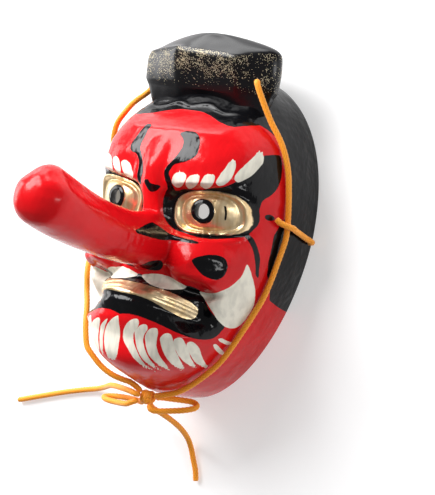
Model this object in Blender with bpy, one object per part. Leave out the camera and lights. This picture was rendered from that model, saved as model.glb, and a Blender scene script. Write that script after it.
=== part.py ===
"""A lacquered tengu mask with its tie cord, lying on its flat rim.

All sizes below are in millimetres and are turned into metres when a mesh is made.
X runs across the face, Y from the chin to the crown and Z out of the face.
The face is symmetric about the plane x = 0, and the rim lies in the plane z = 0.
Left and right are the wearer's own, so left is on the side of positive X.
"""

import math

import bpy
import numpy as np
from mathutils import Vector

MM = 0.001

# Rim outline: a half width at the cheekbones and the reaches up to the crown and down to the chin
HALF_WIDTH = 68.0
CROWN_REACH = 91.0
CHIN_REACH = 123.0
CROWN_POWER = 2.2
CHIN_POWER = 1.75
POWER_SPAN = (-14.0, 14.0)
FACE_HEIGHT = 84.0
WALL = 4.5

# The carving fades out over the last part of the way from the middle to the rim
CARVED_SHARE = 0.86

# The origin is the middle of the part's own box, so the face is moved along Y by this much
CENTRE_Y = 7.15

# Nose: a long shaft that leans towards the crown and ends in a round bulb
NOSE_FOOT_Y = -23.0
NOSE_FOOT_RADIUS = 19.0
NOSE_SHAFT_RADIUS = 16.2
NOSE_BULB_RADIUS = 18.2
NOSE_SHAFT_START = 102.0
NOSE_BULB_CENTRE = 183.0
NOSE_BULB_DEPTH = 15.2
NOSE_RIDGE_TRIM = 0.13
NOSE_BASE_SPREAD = 0.05
NOSE_WAIST_SHARE = 0.7
NOSE_LEAN = 20.0
NOSE_LEAN_START = 90.0
NOSE_LEAN_REACH = 100.0
NOSE_LEAN_POWER = 1.8
NOSE_FOOT_LIFT = 1.5
NOSE_HOLLOW_RADIUS = 11.0
NOSE_HOLLOW_TAPER = 0.15
NOSE_HOLLOW_START = 94.0
NOSE_HOLLOW_TOP = 165.0
NOSE_HOLLOW_END = 170.0
NOSE_HOLLOW_FOOT_RADIUS = 14.0

# A pair that is named as a span is where a form starts to rise and where it is full
FULLNESS = 2.0
CHEEK_FULLNESS = 2.5
CHEEK_FULLNESS_SPAN = (-12.0, -46.0)
JAW_FULLNESS = 3.5
JAW_FULLNESS_SPAN = (-62.0, -80.0)
CHIN_EASING = 2.5
CHIN_EASING_SPAN = (-96.0, -114.0)
INNER_SETBACK = 2.0

# Muzzle, cheek hollow, jowl, the swelling between the brows, and the step down at the crown
MUZZLE_WIDTH = 24.0
MUZZLE_CHIN_WIDENING = 12.0
MUZZLE_WIDENING_SPAN = (-62.0, -78.0)
MUZZLE_HEIGHT = 14.0
MUZZLE_TOP_SPAN = (-46.0, -56.0)
MUZZLE_CHIN_DROP = 5.0
MUZZLE_DROP_SPAN = (-70.0, -84.0)
MUZZLE_FOOT_SPAN = (-115.0, -92.0)
HOLLOW_DEPTH = 13.0
HOLLOW_X = 39.0
HOLLOW_SPREAD = 12.0
HOLLOW_TOP_SPAN = (-38.0, -50.0)
HOLLOW_FOOT_SPAN = (-80.0, -66.0)
JOWL_HEIGHT = 8.0
JOWL_CENTRE = (50.0, -57.0)
JOWL_RADII = (14.0, 26.0)
JOWL_TILT = -0.25
GLABELLA_HEIGHT = 8.0
GLABELLA_CENTRE = (0.0, 19.0)
GLABELLA_RADII = (17.0, 26.0)
CROWN_DROP = 20.0
CROWN_DROP_SPAN = (44.0, 65.0)
CROWN_SIDE_SHARE = 0.65
CROWN_SIDE_SPAN = (22.0, 42.0)

# Eyes: a raised oval lip round a dish, with a ball and a see-through pupil, in a deeper socket
EYE_X = 34.8
EYE_Y = -0.6
EYE_HALF_WIDTH = 22.5
EYE_HALF_HEIGHT = 13.2
EYE_TILT = math.radians(6.5)
EYE_SQUARENESS = 2.9
EYE_LIP_AT = 0.94
EYE_LIP_HEIGHT = 2.4
EYE_LIP_SPREAD = 0.11
EYE_DISH_DEPTH = 2.0
EYE_DISH_SPAN = (0.9, 0.7)
EYE_BALL_HEIGHT = 7.0
EYE_BALL_RADII = (19.0, 15.0)
EYE_BALL_SPAN = (0.9, 0.66)
SOCKET_DEPTH = 9.0
SOCKET_OUTER_SHARE = 0.75
SOCKET_OUTER_SPAN = (34.0, 58.0)
SOCKET_SPAN = (1.32, 0.98)
PUPIL_X = 33.0
PUPIL_Y = 0.0
PUPIL_RADIUS = 4.7
PUPIL_LIP_Z = 73.7
PUPIL_LIP_SLOPE = 0.36
PUPIL_CUT_Z = (53.5, 105.0)
PUPIL_FLARE = math.radians(31)
PUPIL_SIDES = 16

# Cheek: the lobe under the eye, the dimple in it and the fold under it
CHEEK_X = 38.0
CHEEK_Y = -32.5
CHEEK_RADII = (20.5, 16.5)
LOBE_HEIGHT = 5.0
DIMPLE_DEPTH = 2.5
DIMPLE_CENTRE = (44.0, -34.0)
DIMPLE_RADII = (9.5, 8.0)
DIMPLE_TILT = 0.1
FOLD_DEPTH = 4.0
FOLD_AT = 1.1
FOLD_SPREAD = 0.16
FOLD_SPAN = (-34.0, -42.0)

# Mouth and brow
MOUTH_HALF_WIDTH = 36.0
TEETH_Y = -51.5
TEETH_DROOP = 11.0
TEETH_HEIGHT = 2.0
TEETH_HALF_BREADTH = 4.8
TEETH_END_SPAN = (39.0, 34.0)
LIP_Y = -61.0
LIP_DROOP = 12.5
LIP_HEIGHT = 2.4
LIP_HALF_BREADTH = 4.0
LIP_END_SPAN = (45.0, 36.0)
BROW_Y = 12.0
BROW_HEIGHT = 3.0
BROW_SWEEP = 0.02
BROW_SWEEP_START_X = 30.0
BROW_EDGE_SPAN = (-3.0, 3.5)
BROW_TOP_SPAN = (34.0, 14.0)
BROW_INNER_SPAN = (7.0, 15.0)
BROW_OUTER_SPAN = (64.0, 50.0)

# Cap: a faceted box with a domed top, set on the forehead
CAP_FRONT_HALF_WIDTH = 25.5
CAP_CORNER_X = 50.8
CAP_CORNER_Z = 43.0
CAP_SIDE_X = 48.8
CAP_SIDE_Z = 35.0
CAP_BACK_HALF_WIDTH = 32.0
CAP_BACK_CORNER_Z = 12.0
CAP_BACK_Z = 11.0
CAP_MIDDLE_Z = 34.0
CAP_SEAT = 2.5
CAP_FOOT = (0.84, 53.0)

# The cap's levels from its neck to its top: Y, the outline's scale, the Z of its front and the Z that it is
# scaled about
CAP_LEVELS = [(75.0, 0.93, 50.5, 34.0), (79.0, 0.98, 51.5, 34.0), (95.0, 1.0, 56.5, 34.0),
              (99.0, 0.96, 56.5, 34.0), (104.0, 0.8, 56.0, 37.0), (109.0, 0.5, 55.0, 42.0),
              (112.0, 0.15, 54.0, 46.0)]
CROWN_SEARCH_FROM = 40.0
CROWN_SEARCH_ELSE = 60.0
CROWN_SEARCH_STEPS = 400

# Cord: its routes are points chosen by hand. The side loops are twins, and their route is the left one's
CORD_RADIUS = 1.95
CORD_POINT_SPACING = 12.0
LOOP_POINT_SPACING = 5.5
CORD_END_STRAIGHT = 2.5
KNOT_CENTRE = (0.0, -121.5, 55.0)
KNOT_RADII = (5.6, 4.8, 5.2)
KNOT_SEGMENTS = 12
KNOT_RINGS = 8
TIE_CORD_LEFT = [(39.1, 83.2, 49.3), (40.3, 82.7, 51.8), (43.6, 75.8, 50.8), (50.5, 61.5, 46.0),
                 (58.6, 48.0, 41.2), (63.8, 34.0, 38.1), (66.4, 19.4, 36.5), (68.0, 3.0, 34.8),
                 (67.8, -7.0, 33.2), (67.0, -14.0, 33.4), (65.6, -24.7, 34.8), (63.9, -35.6, 36.0),
                 (61.2, -47.3, 37.4), (57.9, -57.0, 39.2), (54.0, -67.4, 41.3), (43.4, -89.8, 44.7),
                 (30.8, -105.0, 48.0), (20.0, -114.0, 50.5), (12.0, -117.6, 53.8), (5.8, -119.7, 54.7)]
TIE_CORD_RIGHT = [(-47.2, 80.0, 30.4), (-49.4, 79.8, 28.8), (-53.2, 76.0, 29.0), (-54.6, 70.0, 34.0),
                  (-54.6, 63.5, 44.0), (-54.8, 56.8, 51.5), (-60.2, 45.2, 53.5), (-64.8, 30.0, 47.5),
                  (-67.8, 13.0, 38.0), (-68.0, 3.0, 34.8), (-67.8, -7.0, 33.2), (-66.8, -16.0, 36.5),
                  (-64.3, -27.0, 45.0), (-60.3, -38.5, 57.0), (-54.7, -48.8, 66.0), (-50.9, -62.5, 68.0),
                  (-45.8, -71.0, 72.0), (-41.2, -80.2, 76.5), (-38.6, -87.6, 78.0), (-35.8, -95.2, 78.5),
                  (-32.5, -99.2, 78.0), (-24.9, -106.6, 74.5), (-18.3, -110.6, 71.0), (-13.0, -112.6, 66.8),
                  (-9.3, -113.9, 62.4), (-6.0, -116.8, 58.0)]
SIDE_LOOP = [(65.8, 2.5, 44.9), (67.6, 0.7, 42.8), (70.8, -0.8, 39.2), (72.6, -1.6, 34.6),
             (71.9, -2.8, 29.5), (70.9, -4.6, 21.0), (70.6, -6.6, 13.0), (71.2, -8.0, 7.8),
             (70.6, -8.7, 5.0), (67.9, -8.9, 4.8)]
BOW_LOOP_LEFT = [(3.8, -121.2, 50.2), (6.2, -120.9, 47.2), (10.0, -120.9, 43.0), (15.5, -120.8, 37.6),
                 (21.0, -120.8, 34.6), (25.2, -121.9, 35.4), (26.4, -123.5, 39.2), (22.6, -125.4, 43.9),
                 (15.5, -127.3, 48.6), (9.0, -128.6, 54.4), (6.0, -128.2, 57.0), (3.5, -125.8, 56.4)]
BOW_LOOP_RIGHT = [(-4.1, -124.5, 52.0), (-7.0, -126.3, 49.8), (-13.0, -127.0, 45.5), (-24.0, -127.8, 41.0),
                  (-35.0, -129.0, 40.6), (-40.5, -130.4, 44.6), (-35.0, -131.0, 49.0), (-24.0, -130.2, 53.0),
                  (-12.5, -128.4, 59.0), (-7.0, -126.0, 60.4), (-4.2, -124.1, 58.2)]
TAIL_LEFT = [(0.6, -125.8, 51.2), (1.0, -128.4, 48.6), (2.8, -132.4, 39.0), (4.0, -137.2, 28.0),
             (4.4, -142.8, 17.0), (4.4, -149.4, 7.6), (5.4, -156.0, 3.0), (8.0, -163.0, 2.2),
             (11.0, -169.5, 2.2), (12.8, -176.4, 2.2)]
TAIL_RIGHT = [(-2.7, -120.4, 60.1), (-4.2, -119.9, 62.4), (-9.5, -119.4, 61.4), (-20.0, -120.0, 55.6),
              (-32.0, -121.4, 46.5), (-44.0, -123.8, 35.0), (-56.0, -127.0, 21.5), (-67.0, -130.4, 10.0),
              (-78.0, -134.0, 3.9), (-90.0, -137.4, 2.3), (-106.0, -142.4, 2.2), (-126.0, -149.4, 2.2),
              (-147.0, -157.0, 2.2)]

# Finishes
LACQUER_COLOUR = (0.75, 0.01, 0.015)
LACQUER_ROUGHNESS = 0.12
CORD_COLOUR = (0.95, 0.33, 0.01)
CORD_ROUGHNESS = 0.6

# Mesh density
AROUND = 80
NOSE_RINGS = 10
FOOT_RINGS = 4
FACE_RINGS = 26
INNER_RINGS = 8
HOLLOW_RINGS = 4
SECTION_SAMPLES = 400
ROUTE_SAMPLES = 24

# The side wall, under the second height of this span, has rings further apart than the face has
WALL_SPAN = (30.0, 58.0)
WALL_DENSITY = 0.35
CORNER_CROWDING = 0.08


def rise(value, start, end):
    """A smooth step from 0 at start to 1 at end."""
    t = np.clip((value - start) / (end - start), 0.0, 1.0)
    return t * t * (3.0 - 2.0 * t)


def hump(x, y, centre, radii, tilt=0.0, power=2.0):
    """A smooth oval mound of height 1, which is 0 outside its radii."""
    c, s = math.cos(tilt), math.sin(tilt)
    u = ((x - centre[0]) * c + (y - centre[1]) * s) / radii[0]
    v = (-(x - centre[0]) * s + (y - centre[1]) * c) / radii[1]
    return np.maximum(0.0, 1.0 - u * u - v * v) ** power


def rim_measure(x, y, inset=0.0):
    """A number that is 0 at the middle of the rim's outline and 1 on it."""
    across = np.abs(x) / (HALF_WIDTH - inset)
    reach = np.where(y > 0.0, CROWN_REACH, CHIN_REACH) - inset
    power = CHIN_POWER + (CROWN_POWER - CHIN_POWER) * rise(y, *POWER_SPAN)
    return across ** power + (np.abs(y) / reach) ** power


def plain_height(x, y, inset=0.0):
    """The smooth bowl that the face is carved on: steep at the jaw and rounder at the brow."""
    fullness = (FULLNESS + CHEEK_FULLNESS * rise(y, *CHEEK_FULLNESS_SPAN)
                + JAW_FULLNESS * rise(y, *JAW_FULLNESS_SPAN) - CHIN_EASING * rise(y, *CHIN_EASING_SPAN))
    measure = rim_measure(x, y, inset)
    return (FACE_HEIGHT - inset) * np.sqrt(np.maximum(0.0, 1.0 - measure ** fullness))


def eye_measure(x, y):
    """0 at the middle of the eye, 1 on its rim."""
    c, s = math.cos(EYE_TILT), math.sin(EYE_TILT)
    u = ((x - EYE_X) * c + (y - EYE_Y) * s) / EYE_HALF_WIDTH
    v = (-(x - EYE_X) * s + (y - EYE_Y) * c) / EYE_HALF_HEIGHT
    return (np.abs(u) ** EYE_SQUARENESS + np.abs(v) ** EYE_SQUARENESS) ** (1.0 / EYE_SQUARENESS)


def cheek_measure(x, y):
    """0 at the middle of the cheek's round lobe, 1 on its edge."""
    return np.hypot((x - CHEEK_X) / CHEEK_RADII[0], (y - CHEEK_Y) / CHEEK_RADII[1])


def broad_relief(x, y):
    """The large forms, which the wall follows inside and out."""
    a = np.abs(x)
    muzzle_width = MUZZLE_WIDTH + MUZZLE_CHIN_WIDENING * rise(y, *MUZZLE_WIDENING_SPAN)
    muzzle_height = MUZZLE_HEIGHT * rise(y, *MUZZLE_TOP_SPAN) - MUZZLE_CHIN_DROP * rise(y, *MUZZLE_DROP_SPAN)
    muzzle = muzzle_height * np.exp(-(a / muzzle_width) ** 3) * rise(y, *MUZZLE_FOOT_SPAN)
    hollow = (-HOLLOW_DEPTH * np.exp(-((a - HOLLOW_X) / HOLLOW_SPREAD) ** 2)
              * rise(y, *HOLLOW_TOP_SPAN) * rise(y, *HOLLOW_FOOT_SPAN))
    jowl = JOWL_HEIGHT * hump(a, y, JOWL_CENTRE, JOWL_RADII, JOWL_TILT, 1.5)
    glabella = GLABELLA_HEIGHT * hump(a, y, GLABELLA_CENTRE, GLABELLA_RADII)
    crown = -CROWN_DROP * rise(y, *CROWN_DROP_SPAN) * (1.0 - CROWN_SIDE_SHARE * rise(a, *CROWN_SIDE_SPAN))
    socket_depth = SOCKET_DEPTH * (1.0 - SOCKET_OUTER_SHARE * rise(a, *SOCKET_OUTER_SPAN))
    socket = -socket_depth * rise(eye_measure(a, y), *SOCKET_SPAN)
    return muzzle + hollow + jowl + glabella + crown + socket


def eye_relief(a, y):
    """A raised lip round a dish, and in it the ball with the pupil on its top."""
    eye = eye_measure(a, y)
    lip = EYE_LIP_HEIGHT * np.exp(-((eye - EYE_LIP_AT) / EYE_LIP_SPREAD) ** 2)
    dish = -EYE_DISH_DEPTH * rise(eye, *EYE_DISH_SPAN)
    mound = hump(a, y, (PUPIL_X, PUPIL_Y), EYE_BALL_RADII, power=1.0)
    ball = EYE_BALL_HEIGHT * mound * rise(eye, *EYE_BALL_SPAN)
    return lip + dish + ball


def cheek_relief(a, y):
    """The lobe under the eye, the dimple in it and the fold that runs under it."""
    cheek = cheek_measure(a, y)
    lobe = LOBE_HEIGHT * np.maximum(0.0, 1.0 - cheek ** 2) ** 1.2
    dimple = -DIMPLE_DEPTH * hump(a, y, DIMPLE_CENTRE, DIMPLE_RADII, DIMPLE_TILT, 1.5)
    fold = -FOLD_DEPTH * np.exp(-((cheek - FOLD_AT) / FOLD_SPREAD) ** 2) * rise(y, *FOLD_SPAN)
    return lobe + dimple + fold


def mouth_relief(a, y):
    """The bared upper teeth as one band, and the lower lip; both droop at the corners."""
    teeth_line = TEETH_Y - TEETH_DROOP * (a / MOUTH_HALF_WIDTH) ** 2
    teeth = TEETH_HEIGHT * np.exp(-((y - teeth_line) / TEETH_HALF_BREADTH) ** 4) * rise(a, *TEETH_END_SPAN)
    lip_line = LIP_Y - LIP_DROOP * (a / MOUTH_HALF_WIDTH) ** 2
    lip = LIP_HEIGHT * np.exp(-((y - lip_line) / LIP_HALF_BREADTH) ** 2) * rise(a, *LIP_END_SPAN)
    return teeth + lip


def brow_relief(a, y):
    """The brow's thick lower edge, which rises towards the temple."""
    above = y - BROW_Y - BROW_SWEEP * np.maximum(0.0, a - BROW_SWEEP_START_X) ** 2
    across = rise(a, *BROW_INNER_SPAN) * rise(a, *BROW_OUTER_SPAN)
    return BROW_HEIGHT * rise(above, *BROW_EDGE_SPAN) * rise(above, *BROW_TOP_SPAN) * across


def fine_relief(x, y):
    """The forms on the outside only."""
    a = np.abs(x)
    return eye_relief(a, y) + cheek_relief(a, y) + mouth_relief(a, y) + brow_relief(a, y)


def face_height(x, y):
    """The height of the outer surface over a point of the rim's plane."""
    measure = rim_measure(x, y)
    near_rim = rise(measure, 1.0, CARVED_SHARE)
    return plain_height(x, y) + near_rim * (broad_relief(x, y) + fine_relief(x, y))


def inner_height(x, y):
    """The height of the hollow's surface."""
    measure = rim_measure(x, y, WALL)
    near_rim = rise(measure, 1.0, CARVED_SHARE)
    return plain_height(x, y, WALL) + near_rim * (broad_relief(x, y) - INNER_SETBACK)


def rim_reach(direction, inset=0.0):
    """How far the rim's outline is from the foot of the nose in one direction."""
    near, far = 0.0, 2.0 * CHIN_REACH
    for _ in range(50):
        middle = 0.5 * (near + far)
        point_x = middle * direction[0]
        point_y = NOSE_FOOT_Y + middle * direction[1]
        if rim_measure(np.array(point_x), np.array(point_y), inset) < 1.0:
            near = middle
        else:
            far = middle
    return 0.5 * (near + far)


def section(direction, start, height, inset, count):
    """Points from the foot of the nose out to the rim, closer together on the face than on the wall."""
    end = rim_reach(direction, inset)
    share = np.sin(np.linspace(0.0, math.pi / 2.0, SECTION_SAMPLES))
    reach = start + (end - start) * share
    x = reach * direction[0]
    y = NOSE_FOOT_Y + reach * direction[1]
    z = height(x, y)
    z[-1] = 0.0
    steps = np.sqrt(np.diff(x) ** 2 + np.diff(y) ** 2 + np.diff(z) ** 2)
    steps = steps * (WALL_DENSITY + (1.0 - WALL_DENSITY) * rise(z[1:], *WALL_SPAN))
    length = np.concatenate([[0.0], np.cumsum(steps)])
    even = np.linspace(0.0, length[-1], count)
    return np.stack([np.interp(even, length, v) for v in (x, y, z)], axis=1)


def nose_axis(z):
    """The nose's centre line: y for a height z."""
    share = np.maximum(0.0, (z - NOSE_LEAN_START) / NOSE_LEAN_REACH)
    return NOSE_FOOT_Y + NOSE_LEAN * share ** NOSE_LEAN_POWER


def nose_frame(z):
    """A point on the nose's centre line and the direction across it in the plane x = 0."""
    slope = (nose_axis(z + 0.5) - nose_axis(z - 0.5))
    across = np.array([0.0, 1.0, -slope]) / math.hypot(1.0, slope)
    return np.array([0.0, nose_axis(z), z]), across


def nose_stations(count):
    """Heights and radii of the nose's rings, from the tip down to the top of its foot."""
    cap = count // 2
    stations = []
    for i in range(1, cap + 1):
        turn = 0.5 * math.pi * i / cap
        stations.append((NOSE_BULB_CENTRE + NOSE_BULB_DEPTH * math.cos(turn),
                         NOSE_BULB_RADIUS * math.sin(turn)))
    for i in range(1, count - cap + 1):
        share = i / (count - cap)
        z = NOSE_BULB_CENTRE + (NOSE_SHAFT_START - NOSE_BULB_CENTRE) * share
        waist = rise(share, 0.0, NOSE_WAIST_SHARE)
        stations.append((z, NOSE_BULB_RADIUS + (NOSE_SHAFT_RADIUS - NOSE_BULB_RADIUS) * waist))
    return stations


def directions(count):
    """Directions round the nose, closer together towards the eyes and the corners of the mouth."""
    angles = 2.0 * math.pi * np.arange(count) / count
    angles = angles + CORNER_CROWDING * np.sin(4.0 * angles)
    return np.stack([np.sin(angles), np.cos(angles)], axis=1)


def ring_across(z, radius, compass):
    """One ring round the nose's centre line, narrower towards the ridge and broader underneath."""
    centre, across = nose_frame(z)
    sideways = np.array([1.0, 0.0, 0.0])
    change = np.where(compass[:, 1] > 0.0, -NOSE_RIDGE_TRIM, NOSE_BASE_SPREAD)
    reach = radius * (1.0 + change * (2.0 * compass[:, 0] * compass[:, 1]) ** 2)
    return centre + reach[:, None] * (compass[:, :1] * sideways + compass[:, 1:] * across)


def outer_rings(around, nose_rings, foot_rings, face_rings):
    """The rings of the outside, from the nose's tip to the rim."""
    compass = directions(around)
    rings = [ring_across(z, r, compass) for z, r in nose_stations(nose_rings)]
    sections = [section(d, NOSE_FOOT_RADIUS, face_height, 0.0, face_rings) for d in compass]
    foot = np.array([points[0] for points in sections])
    top = rings[-1]
    corner = np.column_stack([top[:, 0], top[:, 1], foot[:, 2] + NOSE_FOOT_LIFT])
    for i in range(1, foot_rings):
        t = i / foot_rings
        rings.append((1 - t) ** 2 * top + 2 * t * (1 - t) * corner + t * t * foot)
    for i in range(face_rings):
        rings.append(np.array([points[i] for points in sections]))
    return rings


def inner_rings(around, bowl_rings, hollow_rings):
    """The rings of the inside, from the rim to the end of the hollow nose."""
    compass = directions(2 * around)[::2]
    sections = [section(d, NOSE_HOLLOW_FOOT_RADIUS, inner_height, WALL, bowl_rings) for d in compass]
    rings = []
    for i in range(bowl_rings):
        rings.append(np.array([points[-1 - i] for points in sections]))
    for i in range(hollow_rings):
        share = i / (hollow_rings - 1)
        z = NOSE_HOLLOW_START + (NOSE_HOLLOW_TOP - NOSE_HOLLOW_START) * share
        rings.append(ring_across(z, NOSE_HOLLOW_RADIUS * (1.0 - NOSE_HOLLOW_TAPER * share), compass))
    return rings


def mesh_object(name, points, faces, material):
    mesh = bpy.data.meshes.new(name)
    shift = np.array([0.0, CENTRE_Y, 0.0])
    mesh.from_pydata([tuple((np.asarray(p) + shift) * MM) for p in points], [], faces)
    mesh.update()
    obj = bpy.data.objects.new(name, mesh)
    bpy.context.collection.objects.link(obj)
    obj.data.materials.append(material)
    return obj


def ring_faces(ring_count, around, first=0):
    """Quads between neighbouring rings."""
    faces = []
    for i in range(ring_count - 1):
        for j in range(around):
            k = (j + 1) % around
            a, b = first + i * around, first + (i + 1) * around
            faces.append((a + j, a + k, b + k, b + j))
    return faces


def make_shell(material):
    outside = outer_rings(AROUND, NOSE_RINGS, FOOT_RINGS, FACE_RINGS)
    inner_around = AROUND // 2
    inside = inner_rings(inner_around, INNER_RINGS, HOLLOW_RINGS)
    inner_first = len(outside) * AROUND
    faces = ring_faces(len(outside), AROUND)
    faces += ring_faces(len(inside), inner_around, inner_first)
    rim = inner_first - AROUND
    for j in range(inner_around):
        a, b, c = rim + 2 * j, rim + 2 * j + 1, rim + (2 * j + 2) % AROUND
        p, q = inner_first + j, inner_first + (j + 1) % inner_around
        faces += [(a, b, p), (b, q, p), (b, c, q)]
    tip, _ = nose_frame(NOSE_BULB_CENTRE + NOSE_BULB_DEPTH)
    end, _ = nose_frame(NOSE_HOLLOW_END)
    points = np.concatenate(outside + inside + [[tip], [end]])
    first, last = len(points) - 2, len(points) - 1
    faces += [(first, (j + 1) % AROUND, j) for j in range(AROUND)]
    base = last - 1 - inner_around
    faces += [(last, base + j, base + (j + 1) % inner_around) for j in range(inner_around)]
    return mesh_object("mask_shell", points, faces, material)


def cap_outline(scale, front_z, middle_z=CAP_MIDDLE_Z):
    """The cap's faceted outline at one level, as pairs of x and z."""
    half = [(0.0, front_z),
            (CAP_FRONT_HALF_WIDTH, front_z),
            (CAP_CORNER_X, CAP_CORNER_Z),
            (CAP_SIDE_X, CAP_SIDE_Z),
            (CAP_BACK_HALF_WIDTH, CAP_BACK_CORNER_Z),
            (0.0, CAP_BACK_Z)]
    outline = [(x * scale, middle_z + (z - middle_z) * scale) for x, z in half]
    return outline + [(-x, z) for x, z in reversed(outline[1:-1])]


def crown_y(x, z):
    """Where the crown's surface has the height z, over one x."""
    y = np.linspace(CROWN_SEARCH_FROM, CROWN_REACH, CROWN_SEARCH_STEPS)
    heights = face_height(np.full_like(y, x), y)
    above = np.nonzero(heights > z)[0]
    return y[above[-1]] if len(above) else CROWN_SEARCH_ELSE


def split_evenly(quads, around):
    """Each quad as two triangles, with the diagonals of one half mirrored on the other."""
    triangles = []
    for index, (a, b, c, d) in enumerate(quads):
        if index % around < around // 2:
            triangles += [(a, b, c), (a, c, d)]
        else:
            triangles += [(a, b, d), (b, c, d)]
    return triangles


def make_cap(material):
    foot = [(x, crown_y(x, z) - CAP_SEAT, z) for x, z in cap_outline(*CAP_FOOT)]
    rings = [np.array(foot)]
    for y, scale, front_z, middle_z in CAP_LEVELS:
        rings.append(np.array([(x, y, z) for x, z in cap_outline(scale, front_z, middle_z)]))
    around = len(rings[0])
    centre = (0.0, crown_y(0.0, CAP_MIDDLE_Z) - CAP_SEAT, CAP_MIDDLE_Z)
    points = np.concatenate(rings + [[centre]])
    faces = split_evenly(ring_faces(len(rings), around), around)
    last = len(points) - 1
    faces += [(last, (j + 1) % around, j) for j in range(around)]
    top = (len(rings) - 1) * around
    faces.append(tuple(range(top, top + around)))
    return mesh_object("cap", points, faces, material)


def smooth_route(corners, spacing):
    """Evenly spaced points on a smooth curve through the corners, and a short straight end at each."""
    corners = np.array(corners, dtype=float)
    padded = np.concatenate([[2 * corners[0] - corners[1]], corners, [2 * corners[-1] - corners[-2]]])
    curve = []
    for i in range(len(corners) - 1):
        p0, p1, p2, p3 = padded[i:i + 4]
        for t in np.linspace(0.0, 1.0, ROUTE_SAMPLES, endpoint=False):
            curve.append(0.5 * (2 * p1 + (p2 - p0) * t + (2 * p0 - 5 * p1 + 4 * p2 - p3) * t ** 2
                                + (3 * p1 - p0 - 3 * p2 + p3) * t ** 3))
    curve = np.array(curve + [corners[-1]])
    length = np.concatenate([[0.0], np.cumsum(np.linalg.norm(np.diff(curve, axis=0), axis=1))])
    between = length[-1] - 2.0 * CORD_END_STRAIGHT
    even = CORD_END_STRAIGHT + np.linspace(0.0, between, int(round(between / spacing)) + 1)
    even = np.concatenate([[0.0], even, [length[-1]]])
    return np.stack([np.interp(even, length, curve[:, i]) for i in range(3)], axis=1)


def make_cord(name, corners, material, spacing, side=1.0):
    """A plain round tube along a route, mirrored for the other side where side is -1."""
    route = smooth_route(corners, spacing)
    route[:, 0] *= side
    route[:, 1] += CENTRE_Y
    curve = bpy.data.curves.new(name, 'CURVE')
    curve.dimensions = '3D'
    curve.bevel_depth = CORD_RADIUS * MM
    curve.bevel_resolution = 2
    curve.use_fill_caps = True
    spline = curve.splines.new('POLY')
    spline.points.add(len(route) - 1)
    for point, place in zip(spline.points, route):
        point.co = (*(place * MM), 1.0)
    curve.materials.append(material)
    obj = bpy.data.objects.new(name, curve)
    bpy.context.collection.objects.link(obj)
    return obj


def make_knot(material):
    """The bow's knot, a small flattened lump that every end of the cord meets."""
    bpy.ops.mesh.primitive_uv_sphere_add(segments=KNOT_SEGMENTS, ring_count=KNOT_RINGS, radius=1.0)
    knot = bpy.context.object
    knot.name = "bow_knot"
    centre = Vector(KNOT_CENTRE) + Vector((0.0, CENTRE_Y, 0.0))
    for vertex in knot.data.vertices:
        vertex.co = Vector(c * r + m for c, r, m in zip(vertex.co, KNOT_RADII, centre)) * MM
    knot.data.materials.append(material)


def make_pupil_cutter(side, material):
    """A drill that is straight through the outer lip, which slopes outward, and flares towards the hollow."""
    low, high = PUPIL_CUT_Z
    flared = PUPIL_RADIUS + (PUPIL_LIP_Z - low) * math.tan(PUPIL_FLARE)
    turns = 2.0 * math.pi * np.arange(PUPIL_SIDES) / PUPIL_SIDES
    lip_z = PUPIL_LIP_Z - side * PUPIL_LIP_SLOPE * PUPIL_RADIUS * np.sin(turns)
    rings = []
    for z, radius in ((high, PUPIL_RADIUS), (lip_z, PUPIL_RADIUS), (low, flared)):
        x = side * PUPIL_X + radius * np.sin(turns)
        y = PUPIL_Y + radius * np.cos(turns)
        rings.append(np.column_stack([x, y, np.full(PUPIL_SIDES, z)]))
    faces = ring_faces(len(rings), PUPIL_SIDES)
    last = (len(rings) - 1) * PUPIL_SIDES
    faces.append(tuple(range(PUPIL_SIDES - 1, -1, -1)))
    faces.append(tuple(range(last, last + PUPIL_SIDES)))
    cutter = mesh_object("pupil_cutter", np.concatenate(rings), faces, material)
    cutter.hide_render = True
    cutter.display_type = 'WIRE'
    return cutter


def add_boolean(target, cutter, operation):
    modifier = target.modifiers.new(operation.lower(), 'BOOLEAN')
    modifier.operation = operation
    modifier.solver = 'EXACT'
    modifier.object = cutter


def plain_finish(name, colour, roughness):
    material = bpy.data.materials.new(name)
    material.use_nodes = True
    shader = material.node_tree.nodes["Principled BSDF"]
    shader.inputs["Base Color"].default_value = (*colour, 1.0)
    shader.inputs["Roughness"].default_value = roughness
    return material


def clear_scene():
    for obj in list(bpy.data.objects):
        bpy.data.objects.remove(obj, do_unlink=True)


def main():
    clear_scene()
    red = plain_finish("red_lacquer", LACQUER_COLOUR, LACQUER_ROUGHNESS)
    shell = make_shell(red)
    cap = make_cap(red)
    cap.hide_render = True
    cap.display_type = 'WIRE'
    add_boolean(shell, cap, 'UNION')
    for side in (-1, 1):
        add_boolean(shell, make_pupil_cutter(side, red), 'DIFFERENCE')
    orange = plain_finish("orange_cord", CORD_COLOUR, CORD_ROUGHNESS)
    make_cord("tie_cord_left", TIE_CORD_LEFT, orange, CORD_POINT_SPACING)
    make_cord("tie_cord_right", TIE_CORD_RIGHT, orange, CORD_POINT_SPACING)
    make_cord("side_loop_left", SIDE_LOOP, orange, LOOP_POINT_SPACING)
    make_cord("side_loop_right", SIDE_LOOP, orange, LOOP_POINT_SPACING, side=-1.0)
    make_knot(orange)
    make_cord("bow_loop_left", BOW_LOOP_LEFT, orange, LOOP_POINT_SPACING)
    make_cord("bow_loop_right", BOW_LOOP_RIGHT, orange, LOOP_POINT_SPACING)
    make_cord("cord_tail_left", TAIL_LEFT, orange, CORD_POINT_SPACING)
    make_cord("cord_tail_right", TAIL_RIGHT, orange, CORD_POINT_SPACING)


main()
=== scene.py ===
import math

import bpy
import numpy as np
from mathutils import Matrix, Vector


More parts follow.
